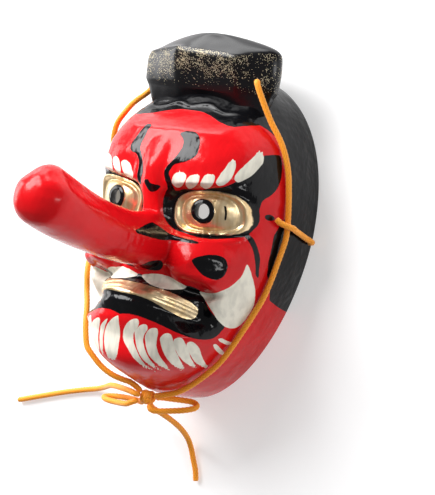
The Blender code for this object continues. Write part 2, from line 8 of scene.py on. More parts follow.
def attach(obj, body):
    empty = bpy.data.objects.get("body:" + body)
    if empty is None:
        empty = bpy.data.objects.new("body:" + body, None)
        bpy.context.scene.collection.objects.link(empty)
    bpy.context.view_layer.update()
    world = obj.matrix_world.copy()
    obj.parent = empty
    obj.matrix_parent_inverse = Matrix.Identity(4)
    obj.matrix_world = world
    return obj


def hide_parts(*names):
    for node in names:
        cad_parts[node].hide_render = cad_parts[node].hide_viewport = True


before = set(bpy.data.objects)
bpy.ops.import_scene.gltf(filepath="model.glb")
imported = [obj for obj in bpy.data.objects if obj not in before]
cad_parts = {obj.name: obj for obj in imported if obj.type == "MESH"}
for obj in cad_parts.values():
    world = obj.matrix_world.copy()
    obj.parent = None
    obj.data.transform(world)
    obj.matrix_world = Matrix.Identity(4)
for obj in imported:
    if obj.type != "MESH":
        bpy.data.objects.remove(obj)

bl_info = {
    "name": "Tengu Mask Finish",
    "version": (1, 0, 0),
    "blender": (4, 5, 0),
    "location": "View3D > Sidebar > Tengu Mask",
    "description": "Carves, lacquers and paints the mask, braids its cord and sets it on its stage",
    "category": "Object",
}

# The mask is worked out in millimetres in its own frame: X to the wearer's left, Y from the chin to the
# crown and Z out of the face. CENTRE_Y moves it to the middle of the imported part's box.
MM = 0.001
CENTRE_Y = 7.15

# Rim outline and bowl
HALF_WIDTH = 68.0
CROWN_REACH = 91.0
CHIN_REACH = 123.0
CROWN_POWER = 2.2
CHIN_POWER = 1.75
POWER_SPAN = (-14.0, 14.0)
FACE_HEIGHT = 84.0
WALL = 4.5
CARVED_SHARE = 0.86

# Nose: a long shaft that leans towards the crown and ends in a round bulb
NOSE_FOOT_Y = -23.0
NOSE_FOOT_RADIUS = 19.0
NOSE_SHAFT_RADIUS = 16.2
NOSE_BULB_RADIUS = 18.2
NOSE_SHAFT_START = 102.0
NOSE_BULB_CENTRE = 183.0
NOSE_BULB_DEPTH = 15.2
NOSE_RIDGE_TRIM = 0.13
NOSE_BASE_SPREAD = 0.05
NOSE_WAIST_SHARE = 0.7
NOSE_LEAN = 20.0
NOSE_LEAN_START = 90.0
NOSE_LEAN_REACH = 100.0
NOSE_LEAN_POWER = 1.8
NOSE_FOOT_LIFT = 1.5
NOSE_HOLLOW_RADIUS = 11.0
NOSE_HOLLOW_TAPER = 0.15
NOSE_HOLLOW_START = 94.0
NOSE_HOLLOW_TOP = 165.0
NOSE_HOLLOW_END = 170.0
NOSE_HOLLOW_FOOT_RADIUS = 14.0
NOSE_INSIDE_Z = 70.0

# A pair that is named as a span is where a form starts to rise and where it is full
FULLNESS = 2.0
CHEEK_FULLNESS = 2.5
CHEEK_FULLNESS_SPAN = (-12.0, -46.0)
JAW_FULLNESS = 3.5
JAW_FULLNESS_SPAN = (-62.0, -80.0)
CHIN_EASING = 2.5
CHIN_EASING_SPAN = (-96.0, -114.0)
INNER_SETBACK = 2.0

# Muzzle, cheek hollow, jowl, the swelling between the brows, and the step down at the crown
MUZZLE_WIDTH = 24.0
MUZZLE_CHIN_WIDENING = 12.0
MUZZLE_WIDENING_SPAN = (-62.0, -78.0)
MUZZLE_HEIGHT = 14.0
MUZZLE_TOP_SPAN = (-46.0, -56.0)
MUZZLE_CHIN_DROP = 5.0
MUZZLE_DROP_SPAN = (-70.0, -84.0)
MUZZLE_FOOT_SPAN = (-115.0, -92.0)
HOLLOW_DEPTH = 13.0
HOLLOW_X = 39.0
HOLLOW_SPREAD = 12.0
HOLLOW_TOP_SPAN = (-38.0, -50.0)
HOLLOW_FOOT_SPAN = (-80.0, -66.0)
JOWL_HEIGHT = 8.0
JOWL_CENTRE = (50.0, -57.0)
JOWL_RADII = (14.0, 26.0)
JOWL_TILT = -0.25
GLABELLA_HEIGHT = 8.0
GLABELLA_CENTRE = (0.0, 19.0)
GLABELLA_RADII = (17.0, 26.0)
CROWN_DROP = 20.0
CROWN_DROP_SPAN = (44.0, 65.0)
CROWN_SIDE_SHARE = 0.65
CROWN_SIDE_SPAN = (22.0, 42.0)

# Eyes: a raised oval lip round a dish, with a ball and a see-through pupil, in a deeper socket
EYE_X = 34.8
EYE_Y = -0.6
EYE_HALF_WIDTH = 22.5
EYE_HALF_HEIGHT = 13.2
EYE_TILT = math.radians(6.5)
EYE_SQUARENESS = 2.9
EYE_LIP_AT = 0.94
EYE_LIP_HEIGHT = 2.4
EYE_LIP_SPREAD = 0.08
EYE_DISH_DEPTH = 2.0
EYE_DISH_SPAN = (0.9, 0.7)
EYE_BALL_HEIGHT = 7.0
EYE_BALL_RADII = (19.0, 15.0)
EYE_BALL_SPAN = (0.9, 0.66)
SOCKET_DEPTH = 9.0
SOCKET_OUTER_SHARE = 0.75
SOCKET_OUTER_SPAN = (34.0, 58.0)
SOCKET_SPAN = (1.32, 0.98)
PUPIL_X = 33.0
PUPIL_Y = 0.0
PUPIL_RADIUS = 4.7
PUPIL_LIP_Z = 73.7
PUPIL_LIP_SLOPE = 0.36
PUPIL_CUT_Z = (53.5, 105.0)
PUPIL_FLARE = math.radians(31)
PUPIL_SIDES = 64
PUPIL_RING_RADIUS = 7.4
PUPIL_RING_HEIGHT = 0.8
PUPIL_RING_EDGE = (0.5, -0.6)
EYE_GOLD_EDGE = 1.0
CRESCENT_RADIUS = 12.9
CRESCENT_HALF_BREADTH = 0.5
CRESCENT_HALF_LENGTH = 4.2
CRESCENT_Y = 1.0

# Cheek: the lobe under the eye, the dimple in it and the fold under it
CHEEK_X = 38.0
CHEEK_Y = -32.5
CHEEK_RADII = (20.5, 16.5)
LOBE_HEIGHT = 5.0
DIMPLE_DEPTH = 2.5
DIMPLE_CENTRE = (44.0, -34.0)
DIMPLE_RADII = (9.5, 8.0)
DIMPLE_TILT = 0.1
FOLD_DEPTH = 4.0
FOLD_AT = 1.1
FOLD_SPREAD = 0.16
FOLD_SPAN = (-34.0, -42.0)

# Mouth and brow
MOUTH_HALF_WIDTH = 36.0
TEETH_Y = -51.5
TEETH_DROOP = 11.0
TEETH_HEIGHT = 2.0
TEETH_HALF_BREADTH = 4.8
TEETH_END_SPAN = (39.0, 34.0)
TEETH_RIDGE = 0.35
TEETH_RIDGE_PITCH = 2.6
LIP_Y = -61.0
LIP_DROOP = 12.5
LIP_HEIGHT = 2.4
LIP_HALF_BREADTH = 4.0
LIP_END_SPAN = (45.0, 36.0)
BROW_Y = 12.0
BROW_HEIGHT = 3.0
BROW_SWEEP = 0.02
BROW_SWEEP_START_X = 30.0
BROW_EDGE_SPAN = (-3.0, 3.5)
BROW_TOP_SPAN = (34.0, 14.0)
BROW_INNER_SPAN = (7.0, 15.0)
BROW_OUTER_SPAN = (64.0, 50.0)

# The wavy lip of lacquer where the cap's neck meets the forehead
NECK_LIP_Y = 65.0
NECK_LIP_HEIGHT = 1.5
NECK_LIP_HALF_BREADTH = 1.3
NECK_LIP_WAVE = 1.2
NECK_LIP_WAVELENGTH = 24.0
NECK_LIP_WAVE_START_X = -15.0
NECK_LIP_DROOP = 0.0035
NECK_LIP_END_SPAN = (38.0, 26.0)

# Cap
CAP_FRONT_HALF_WIDTH = 25.5
CAP_CORNER_X = 50.8
CAP_CORNER_Z = 43.0
CAP_SIDE_X = 48.8
CAP_SIDE_Z = 35.0
CAP_BACK_HALF_WIDTH = 32.0
CAP_BACK_CORNER_Z = 12.0
CAP_BACK_Z = 11.0
CAP_MIDDLE_Z = 34.0
CAP_SEAT = 2.5
CAP_FOOT = (0.84, 47.5)
CAP_EDGE_Y = 99.0
CAP_EDGE_REACH = 2.5
CAP_SOFT_Y = 85.0
CAP_SOFT_CREASE = 0.2
CAP_UPRIGHT_CREASE = 0.85
CAP_RING_CREASE = 0.8
CROWN_SEARCH_FROM = 40.0
CROWN_SEARCH_ELSE = 60.0
CROWN_SEARCH_STEPS = 400

# The cap's levels from its neck to its top: Y, the outline's scale, the Z of its front, the Z that it is
# scaled about, and how much of each corner's own lift it has
CAP_LEVELS = [(75.0, 0.93, 50.5, 34.0, 0.0), (79.0, 0.98, 51.5, 34.0, 0.0), (95.0, 1.0, 56.5, 34.0, 1.0),
              (CAP_EDGE_Y, 0.96, 56.5, 34.0, 1.0), (104.0, 0.8, 56.0, 37.0, 0.6),
              (109.0, 0.5, 55.0, 42.0, 0.2), (112.0, 0.15, 54.0, 46.0, 0.0)]

# How far each corner of the cap is moved sideways and its edge bent up or down, in the order of the outline
CAP_SHIFTS = (-1.0, -1.6, -1.6, -1.6, -1.6, -1.6, -1.6, -1.6, -1.6, 4.0)
CAP_LIFTS = (0.5, 0.0, 6.5, 4.5, 0.0, 0.0, 0.0, -2.0, -2.0, 1.5)

# Mesh density: rings from the nose's tip to its foot, from there to the rim, and inside
NOSE_RINGS = 36
FOOT_RINGS = 10
BOWL_RINGS = 20
HOLLOW_RINGS = 6
SECTION_SAMPLES = 1200
WALL_SPAN = (30.0, 58.0)
WALL_DENSITY = 0.35
CORNER_CROWDING = 0.08

# Braid and paint
CORD_SIDES = 24
ROUTE_STEPS = 24
STRANDS = 6
BRAID_DEPTH = 0.22
PAINT_SOFTNESS = 0.12
FLECKS_PER_METRE = 2500.0
FRONT_FLECKS = 0.36
SIDE_FLECKS = 0.2
RED_ROUGHNESS = 0.2
BLACK_ROUGHNESS = 0.13
CREAM_ROUGHNESS = 0.34
GOLD_ROUGHNESS = 0.36
GOLD_METAL = 0.88
HOLLOW_ROUGHNESS = 0.85
CAP_ROUGHNESS = 0.24
FLECK_ROUGHNESS = 0.4
FLECK_METAL = 0.35

# The photograph's view, in degrees and metres, and the place and size of each light
VIEW_YAW = 33.0
VIEW_PITCH = 1.9
VIEW_ROLL = 9.5
VIEW_DISTANCE = 0.9
VIEW_AIM = (0.0, -0.01285, 0.04)
VIEW_OFFSET = (0.0195, -0.005)
VIEW_LENS = 102.84
SOFTBOXES = {"key": ((-0.7, 0.8, 1.0), (0.95, 0.8)), "fill": ((1.3, 0.15, 0.55), (0.2, 0.6)),
             "crown": ((-0.6, 1.15, 0.2), (1.3, 0.4)), "side": ((-1.4, 0.15, 0.32), (0.9, 0.45))}
FLOOR_SIZE = 6.0
FLOOR_Z = -0.0003

# Cord routes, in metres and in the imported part's frame
KNOT_CENTRE = (0.0, -0.11435, 0.055)
TIE_CORD_LEFT = [(0.0391, 0.09035, 0.0493), (0.0403, 0.08985, 0.0518), (0.0436, 0.08295, 0.0508),
                 (0.0505, 0.06865, 0.046), (0.0586, 0.05515, 0.0412), (0.0638, 0.04115, 0.0381),
                 (0.0664, 0.02655, 0.0365), (0.068, 0.01015, 0.0348), (0.0678, 0.00015, 0.0332),
                 (0.067, -0.00685, 0.0334), (0.0656, -0.01755, 0.0348), (0.0639, -0.02845, 0.036),
                 (0.0612, -0.04015, 0.0374), (0.0579, -0.04985, 0.0392), (0.054, -0.06025, 0.0413),
                 (0.0434, -0.08265, 0.0447), (0.0308, -0.09785, 0.048), (0.02, -0.10685, 0.0505),
                 (0.012, -0.11045, 0.0538), (0.0058, -0.11255, 0.0547)]
TIE_CORD_RIGHT = [(-0.0472, 0.08715, 0.0304), (-0.0494, 0.08695, 0.0288), (-0.0532, 0.08315, 0.029),
                  (-0.0546, 0.07715, 0.034), (-0.0546, 0.07065, 0.044), (-0.0548, 0.06395, 0.0515),
                  (-0.0602, 0.05235, 0.0535), (-0.0648, 0.03715, 0.0475), (-0.0678, 0.02015, 0.038),
                  (-0.068, 0.01015, 0.0348), (-0.0678, 0.00015, 0.0332), (-0.0668, -0.00885, 0.0365),
                  (-0.0643, -0.01985, 0.045), (-0.0603, -0.03135, 0.057), (-0.0547, -0.04165, 0.066),
                  (-0.0509, -0.05535, 0.068), (-0.0458, -0.06385, 0.072), (-0.0412, -0.07305, 0.0765),
                  (-0.0386, -0.08045, 0.078), (-0.0358, -0.08805, 0.0785), (-0.0325, -0.09205, 0.078),
                  (-0.0249, -0.09945, 0.0745), (-0.0183, -0.10345, 0.071), (-0.013, -0.10545, 0.0668),
                  (-0.0093, -0.10675, 0.0624), (-0.0062, -0.10945, 0.0586),
                  (-0.0038, -0.11205, 0.0572)]
SIDE_LOOP = [(0.0658, 0.00965, 0.0449), (0.0676, 0.00785, 0.0428), (0.0708, 0.00635, 0.0392),
             (0.0726, 0.00555, 0.0346), (0.0719, 0.00435, 0.0295), (0.0709, 0.00255, 0.021),
             (0.0706, 0.00055, 0.013), (0.0712, -0.00085, 0.0078), (0.0706, -0.00155, 0.005),
             (0.0679, -0.00175, 0.0048)]
BOW_LOOP_LEFT = [(0.0038, -0.11405, 0.0502), (0.0062, -0.11375, 0.0472), (0.01, -0.11375, 0.043),
                 (0.0155, -0.11365, 0.0376), (0.021, -0.11365, 0.0346), (0.0252, -0.11475, 0.0354),
                 (0.0264, -0.11635, 0.0392), (0.0226, -0.11825, 0.0439), (0.0155, -0.12015, 0.0486),
                 (0.009, -0.12145, 0.0544), (0.006, -0.12105, 0.057), (0.0035, -0.11865, 0.0564)]
BOW_LOOP_RIGHT = [(-0.0041, -0.11735, 0.052), (-0.007, -0.11915, 0.0498), (-0.013, -0.11985, 0.0455),
                  (-0.024, -0.12065, 0.041), (-0.035, -0.12185, 0.0406), (-0.0405, -0.12325, 0.0446),
                  (-0.035, -0.12385, 0.049), (-0.024, -0.12305, 0.053), (-0.0125, -0.12125, 0.059),
                  (-0.007, -0.11885, 0.0604), (-0.0042, -0.11695, 0.0582)]
TAIL_LEFT = [(0.0006, -0.11865, 0.0512), (0.001, -0.12125, 0.0486), (0.0028, -0.12525, 0.039),
             (0.004, -0.13005, 0.028), (0.0044, -0.13565, 0.017), (0.0044, -0.14225, 0.0076),
             (0.0054, -0.14885, 0.003), (0.008, -0.15585, 0.0022), (0.011, -0.16235, 0.0022),
             (0.0128, -0.16925, 0.0022)]
TAIL_RIGHT = [(-0.0027, -0.11325, 0.0601), (-0.0042, -0.11275, 0.0624), (-0.0095, -0.11225, 0.0614),
              (-0.02, -0.11285, 0.0556), (-0.032, -0.11425, 0.0465), (-0.044, -0.11665, 0.035),
              (-0.056, -0.11985, 0.0215), (-0.067, -0.12325, 0.01), (-0.078, -0.12685, 0.0039),
              (-0.09, -0.13025, 0.0023), (-0.106, -0.13525, 0.0022), (-0.126, -0.14225, 0.0022),
              (-0.147, -0.14985, 0.0022)]


class TenguFormSettings(bpy.types.PropertyGroup):
    around: bpy.props.IntProperty(
        name="Points around", description="Points in each ring round the nose", default=432, min=80,
        max=440)
    face_rings: bpy.props.IntProperty(
        name="Rings on the face", description="Rings from the foot of the nose to the rim", default=150,
        min=30, max=160)
    ripple: bpy.props.FloatProperty(
        name="Ripple", description="Height of the slow waves in the lacquer", default=0.0022,
        unit='LENGTH')


class TenguPaintSettings(bpy.types.PropertyGroup):
    red: bpy.props.FloatVectorProperty(
        name="Red", description="The face's red lacquer", default=(0.74, 0.005, 0.009), subtype='COLOR')
    black: bpy.props.FloatVectorProperty(
        name="Black", description="The hair, the mouth and the cap", default=(0.003, 0.003, 0.004),
        subtype='COLOR')
    cream: bpy.props.FloatVectorProperty(
        name="Cream", description="The brows, whiskers and beard", default=(0.88, 0.84, 0.72),
        subtype='COLOR')
    gold: bpy.props.FloatVectorProperty(
        name="Gold", description="The eyes and the teeth", default=(0.88, 0.7, 0.44), subtype='COLOR')
    inside: bpy.props.FloatVectorProperty(
        name="Inside", description="The unpainted hollow", default=(0.8, 0.77, 0.7), subtype='COLOR')
    fleck: bpy.props.FloatVectorProperty(
        name="Fleck", description="The gold flecks on the cap", default=(1.0, 0.86, 0.54), subtype='COLOR')


class TenguCordSettings(bpy.types.PropertyGroup):
    diameter: bpy.props.FloatProperty(
        name="Diameter", description="Thickness of the cord", default=0.0039, unit='LENGTH')
    ring_spacing: bpy.props.FloatProperty(
        name="Ring spacing", description="Distance between the rings of the cord's mesh", default=0.00045,
        unit='LENGTH')
    pick: bpy.props.FloatProperty(
        name="Pick", description="Length of one crossing of the braid", default=0.0026, unit='LENGTH')
    colour: bpy.props.FloatVectorProperty(
        name="Colour", description="The cord's orange", default=(1.0, 0.36, 0.006), subtype='COLOR')


class TenguStageSettings(bpy.types.PropertyGroup):
    floor_glow: bpy.props.FloatProperty(
        name="Floor glow", description="How much light the pale floor gives off itself", default=0.42,
        min=0.0)
    key_power: bpy.props.FloatProperty(
        name="Key light", description="Power of the large soft light", default=35.0, unit='POWER')
    fill_power: bpy.props.FloatProperty(
        name="Fill light", description="Power of the light on the mask's left side", default=4.0,
        unit='POWER')
    crown_power: bpy.props.FloatProperty(
        name="Crown light", description="Power of the low light behind the crown", default=10.0,
        unit='POWER')
    side_power: bpy.props.FloatProperty(
        name="Side light", description="Power of the low light on the mask's right side", default=7.0,
        unit='POWER')
    sky: bpy.props.FloatProperty(
        name="Room light", description="Strength of the even light of the room", default=0.25, min=0.0)


def rise(value, start, end):
    """A smooth step from 0 at start to 1 at end."""
    t = np.clip((value - start) / (end - start), 0.0, 1.0)
    return t * t * (3.0 - 2.0 * t)


def hump(x, y, centre, radii, tilt=0.0, power=2.0):
    """A smooth oval mound of height 1, which is 0 outside its radii."""
    c, s = math.cos(tilt), math.sin(tilt)
    u = ((x - centre[0]) * c + (y - centre[1]) * s) / radii[0]
    v = (-(x - centre[0]) * s + (y - centre[1]) * c) / radii[1]
    return np.maximum(0.0, 1.0 - u * u - v * v) ** power


def rim_measure(x, y, inset=0.0):
    """A number that is 0 at the middle of the rim's outline and 1 on it."""
    across = np.abs(x) / (HALF_WIDTH - inset)
    reach = np.where(y > 0.0, CROWN_REACH, CHIN_REACH) - inset
    power = CHIN_POWER + (CROWN_POWER - CHIN_POWER) * rise(y, *POWER_SPAN)
    return across ** power + (np.abs(y) / reach) ** power


def plain_height(x, y, inset=0.0):
    """The smooth bowl that the face is carved on: steep at the jaw and rounder at the brow."""
    fullness = (FULLNESS + CHEEK_FULLNESS * rise(y, *CHEEK_FULLNESS_SPAN)
                + JAW_FULLNESS * rise(y, *JAW_FULLNESS_SPAN) - CHIN_EASING * rise(y, *CHIN_EASING_SPAN))
    measure = rim_measure(x, y, inset)
    return (FACE_HEIGHT - inset) * np.sqrt(np.maximum(0.0, 1.0 - measure ** fullness))


def eye_measure(x, y):
    """0 at the middle of the eye, 1 on its rim."""
    c, s = math.cos(EYE_TILT), math.sin(EYE_TILT)
    u = ((x - EYE_X) * c + (y - EYE_Y) * s) / EYE_HALF_WIDTH
    v = (-(x - EYE_X) * s + (y - EYE_Y) * c) / EYE_HALF_HEIGHT
    return (np.abs(u) ** EYE_SQUARENESS + np.abs(v) ** EYE_SQUARENESS) ** (1.0 / EYE_SQUARENESS)


def cheek_measure(x, y):
    """0 at the middle of the cheek's round lobe, 1 on its edge."""
    return np.hypot((x - CHEEK_X) / CHEEK_RADII[0], (y - CHEEK_Y) / CHEEK_RADII[1])


def broad_relief(x, y):
    """The large forms, which the wall follows inside and out."""
    a = np.abs(x)
    muzzle_width = MUZZLE_WIDTH + MUZZLE_CHIN_WIDENING * rise(y, *MUZZLE_WIDENING_SPAN)
    muzzle_height = MUZZLE_HEIGHT * rise(y, *MUZZLE_TOP_SPAN)
    muzzle_height = muzzle_height - MUZZLE_CHIN_DROP * rise(y, *MUZZLE_DROP_SPAN)
    muzzle = muzzle_height * np.exp(-(a / muzzle_width) ** 3) * rise(y, *MUZZLE_FOOT_SPAN)
    hollow = (-HOLLOW_DEPTH * np.exp(-((a - HOLLOW_X) / HOLLOW_SPREAD) ** 2)
              * rise(y, *HOLLOW_TOP_SPAN) * rise(y, *HOLLOW_FOOT_SPAN))
    jowl = JOWL_HEIGHT * hump(a, y, JOWL_CENTRE, JOWL_RADII, JOWL_TILT, 1.5)
    glabella = GLABELLA_HEIGHT * hump(a, y, GLABELLA_CENTRE, GLABELLA_RADII)
    crown = -CROWN_DROP * rise(y, *CROWN_DROP_SPAN) * (1.0 - CROWN_SIDE_SHARE * rise(a, *CROWN_SIDE_SPAN))
    socket_depth = SOCKET_DEPTH * (1.0 - SOCKET_OUTER_SHARE * rise(a, *SOCKET_OUTER_SPAN))
    socket = -socket_depth * rise(eye_measure(a, y), *SOCKET_SPAN)
    return muzzle + hollow + jowl + glabella + crown + socket


def eye_relief(a, y):
    """A raised lip round a dish, and in it the ball with the pupil in a low ring on its top."""
    eye = eye_measure(a, y)
    lip = EYE_LIP_HEIGHT * np.exp(-((eye - EYE_LIP_AT) / EYE_LIP_SPREAD) ** 2)
    dish = -EYE_DISH_DEPTH * rise(eye, *EYE_DISH_SPAN)
    mound = hump(a, y, (PUPIL_X, PUPIL_Y), EYE_BALL_RADII, power=1.0)
    ball = EYE_BALL_HEIGHT * mound * rise(eye, *EYE_BALL_SPAN)
    past_ring = np.hypot(a - PUPIL_X, y - PUPIL_Y) - PUPIL_RING_RADIUS
    return lip + dish + ball + PUPIL_RING_HEIGHT * rise(past_ring, *PUPIL_RING_EDGE)


def cheek_relief(a, y):
    """The lobe under the eye, the dimple in it and the fold that runs under it."""
    cheek = cheek_measure(a, y)
    lobe = LOBE_HEIGHT * np.maximum(0.0, 1.0 - cheek ** 2) ** 1.2
    dimple = -DIMPLE_DEPTH * hump(a, y, DIMPLE_CENTRE, DIMPLE_RADII, DIMPLE_TILT, 1.5)
    fold = -FOLD_DEPTH * np.exp(-((cheek - FOLD_AT) / FOLD_SPREAD) ** 2) * rise(y, *FOLD_SPAN)
    return lobe + dimple + fold


def mouth_relief(a, y):
    """The bared upper teeth as one ridged band, and the lower lip; both droop at the corners."""
    above = y - (TEETH_Y - TEETH_DROOP * (a / MOUTH_HALF_WIDTH) ** 2)
    band = np.exp(-(above / TEETH_HALF_BREADTH) ** 4) * rise(a, *TEETH_END_SPAN)
    ridges = TEETH_RIDGE * np.cos(2.0 * math.pi * above / TEETH_RIDGE_PITCH)
    lip_line = LIP_Y - LIP_DROOP * (a / MOUTH_HALF_WIDTH) ** 2
    lip = LIP_HEIGHT * np.exp(-((y - lip_line) / LIP_HALF_BREADTH) ** 2) * rise(a, *LIP_END_SPAN)
    return (TEETH_HEIGHT + ridges) * band + lip


def brow_relief(a, y):
    """The brow's thick lower edge, which rises towards the temple."""
    above = y - BROW_Y - BROW_SWEEP * np.maximum(0.0, a - BROW_SWEEP_START_X) ** 2
    across = rise(a, *BROW_INNER_SPAN) * rise(a, *BROW_OUTER_SPAN)
    return BROW_HEIGHT * rise(above, *BROW_EDGE_SPAN) * rise(above, *BROW_TOP_SPAN) * across


def crown_relief(x, y):
    """A wavy lip of lacquer where the cap's neck meets the forehead."""
    wave = NECK_LIP_WAVE * np.cos(2.0 * math.pi * (x - NECK_LIP_WAVE_START_X) / NECK_LIP_WAVELENGTH)
    line = NECK_LIP_Y + wave - NECK_LIP_DROOP * x ** 2
    lip = np.exp(-((y - line) / NECK_LIP_HALF_BREADTH) ** 2) * rise(np.abs(x), *NECK_LIP_END_SPAN)
    return NECK_LIP_HEIGHT * lip


def fine_relief(x, y):
    """The forms on the outside only."""
    a = np.abs(x)
    face = eye_relief(a, y) + cheek_relief(a, y) + mouth_relief(a, y) + brow_relief(a, y)
    return face + crown_relief(x, y)


def face_height(x, y):
    """The height of the outer surface over a point of the rim's plane."""
    measure = rim_measure(x, y)
    near_rim = rise(measure, 1.0, CARVED_SHARE)
    return plain_height(x, y) + near_rim * (broad_relief(x, y) + fine_relief(x, y))


def inner_height(x, y):
    """The height of the hollow's surface."""
    measure = rim_measure(x, y, WALL)
    near_rim = rise(measure, 1.0, CARVED_SHARE)
    return plain_height(x, y, WALL) + near_rim * (broad_relief(x, y) - INNER_SETBACK)


def rim_reach(direction, inset=0.0):
    """How far the rim's outline is from the foot of the nose in one direction."""
    near, far = 0.0, 2.0 * CHIN_REACH
    for _ in range(50):
        middle = 0.5 * (near + far)
        point_x = middle * direction[0]
        point_y = NOSE_FOOT_Y + middle * direction[1]
        if rim_measure(np.array(point_x), np.array(point_y), inset) < 1.0:
            near = middle
        else:
            far = middle
    return 0.5 * (near + far)


def section(direction, start, height, inset, count):
    """Points from the foot of the nose out to the rim, closer together on the face than on the wall."""
    end = rim_reach(direction, inset)
    share = np.sin(np.linspace(0.0, math.pi / 2.0, SECTION_SAMPLES))
    reach = start + (end - start) * share
    x = reach * direction[0]
    y = NOSE_FOOT_Y + reach * direction[1]
    z = height(x, y)
    z[-1] = 0.0
    steps = np.sqrt(np.diff(x) ** 2 + np.diff(y) ** 2 + np.diff(z) ** 2)
    steps = steps * (WALL_DENSITY + (1.0 - WALL_DENSITY) * rise(z[1:], *WALL_SPAN))
    length = np.concatenate([[0.0], np.cumsum(steps)])
    even = np.linspace(0.0, length[-1], count)
    return np.stack([np.interp(even, length, v) for v in (x, y, z)], axis=1)


def nose_axis(z):
    """The nose's centre line: y for a height z."""
    share = np.maximum(0.0, (z - NOSE_LEAN_START) / NOSE_LEAN_REACH)
    return NOSE_FOOT_Y + NOSE_LEAN * share ** NOSE_LEAN_POWER


def nose_frame(z):
    """A point on the nose's centre line and the direction across it in the plane x = 0."""
    slope = (nose_axis(z + 0.5) - nose_axis(z - 0.5))
    across = np.array([0.0, 1.0, -slope]) / math.hypot(1.0, slope)
    return np.array([0.0, nose_axis(z), z]), across


def nose_stations(count):
    """Heights and radii of the nose's rings, from the tip down to the top of its foot."""
    cap = count // 2
    stations = []
    for i in range(1, cap + 1):
        turn = 0.5 * math.pi * i / cap
        stations.append((NOSE_BULB_CENTRE + NOSE_BULB_DEPTH * math.cos(turn),
                         NOSE_BULB_RADIUS * math.sin(turn)))
    for i in range(1, count - cap + 1):
        share = i / (count - cap)
        z = NOSE_BULB_CENTRE + (NOSE_SHAFT_START - NOSE_BULB_CENTRE) * share
        waist = rise(share, 0.0, NOSE_WAIST_SHARE)
        stations.append((z, NOSE_BULB_RADIUS + (NOSE_SHAFT_RADIUS - NOSE_BULB_RADIUS) * waist))
    return stations


def directions(count):
    """Directions round the nose, closer together towards the eyes and the corners of the mouth."""
    angles = 2.0 * math.pi * np.arange(count) / count
    angles = angles + CORNER_CROWDING * np.sin(4.0 * angles)
    return np.stack([np.sin(angles), np.cos(angles)], axis=1)


def ring_across(z, radius, compass):
    """One ring round the nose's centre line, narrower towards the ridge and broader underneath."""
    centre, across = nose_frame(z)
    sideways = np.array([1.0, 0.0, 0.0])
    change = np.where(compass[:, 1] > 0.0, -NOSE_RIDGE_TRIM, NOSE_BASE_SPREAD)
    reach = radius * (1.0 + change * (2.0 * compass[:, 0] * compass[:, 1]) ** 2)
    return centre + reach[:, None] * (compass[:, :1] * sideways + compass[:, 1:] * across)


def outer_rings(around, nose_rings, foot_rings, face_rings):
    """The rings of the outside, from the nose's tip to the rim."""
    compass = directions(around)
    rings = [ring_across(z, r, compass) for z, r in nose_stations(nose_rings)]
    sections = [section(d, NOSE_FOOT_RADIUS, face_height, 0.0, face_rings) for d in compass]
    foot = np.array([points[0] for points in sections])
    top = rings[-1]
    corner = np.column_stack([top[:, 0], top[:, 1], foot[:, 2] + NOSE_FOOT_LIFT])
    for i in range(1, foot_rings):
        t = i / foot_rings
        rings.append((1 - t) ** 2 * top + 2 * t * (1 - t) * corner + t * t * foot)
    for i in range(face_rings):
        rings.append(np.array([points[i] for points in sections]))
    return rings


def inner_rings(around, bowl_rings, hollow_rings):
    """The rings of the inside, from the rim to the end of the hollow nose."""
    compass = directions(2 * around)[::2]
    sections = [section(d, NOSE_HOLLOW_FOOT_RADIUS, inner_height, WALL, bowl_rings) for d in compass]
    rings = []
    for i in range(bowl_rings):
        rings.append(np.array([points[-1 - i] for points in sections]))
    for i in range(hollow_rings):
        share = i / (hollow_rings - 1)
        z = NOSE_HOLLOW_START + (NOSE_HOLLOW_TOP - NOSE_HOLLOW_START) * share
        rings.append(ring_across(z, NOSE_HOLLOW_RADIUS * (1.0 - NOSE_HOLLOW_TAPER * share), compass))
    return rings


def ring_faces(ring_count, around, first=0):
    """Quads between neighbouring rings."""
    faces = []
    for i in range(ring_count - 1):
        for j in range(around):
            k = (j + 1) % around
            a, b = first + i * around, first + (i + 1) * around
            faces.append((a + j, a + k, b + k, b + j))
    return faces


def shell_mesh(around, nose_count, foot_count, face_count, bowl_count, hollow_count):
    """Points in millimetres and faces of the whole shell, closed over its rim."""
    outside = outer_rings(around, nose_count, foot_count, face_count)
    inner_around = around // 2
    inside = inner_rings(inner_around, bowl_count, hollow_count)
    inner_first = len(outside) * around
    faces = ring_faces(len(outside), around)
    faces += ring_faces(len(inside), inner_around, inner_first)
    rim = inner_first - around
    for j in range(inner_around):
        a, b, c = rim + 2 * j, rim + 2 * j + 1, rim + (2 * j + 2) % around
        p, q = inner_first + j, inner_first + (j + 1) % inner_around
        faces += [(a, b, p), (b, q, p), (b, c, q)]
    tip, _ = nose_frame(NOSE_BULB_CENTRE + NOSE_BULB_DEPTH)
    end, _ = nose_frame(NOSE_HOLLOW_END)
    points = np.concatenate(outside + inside + [[tip], [end]])
    first, last = len(points) - 2, len(points) - 1
    faces += [(first, (j + 1) % around, j) for j in range(around)]
    base = last - 1 - inner_around
    faces += [(last, base + j, base + (j + 1) % inner_around) for j in range(inner_around)]
    return points, faces


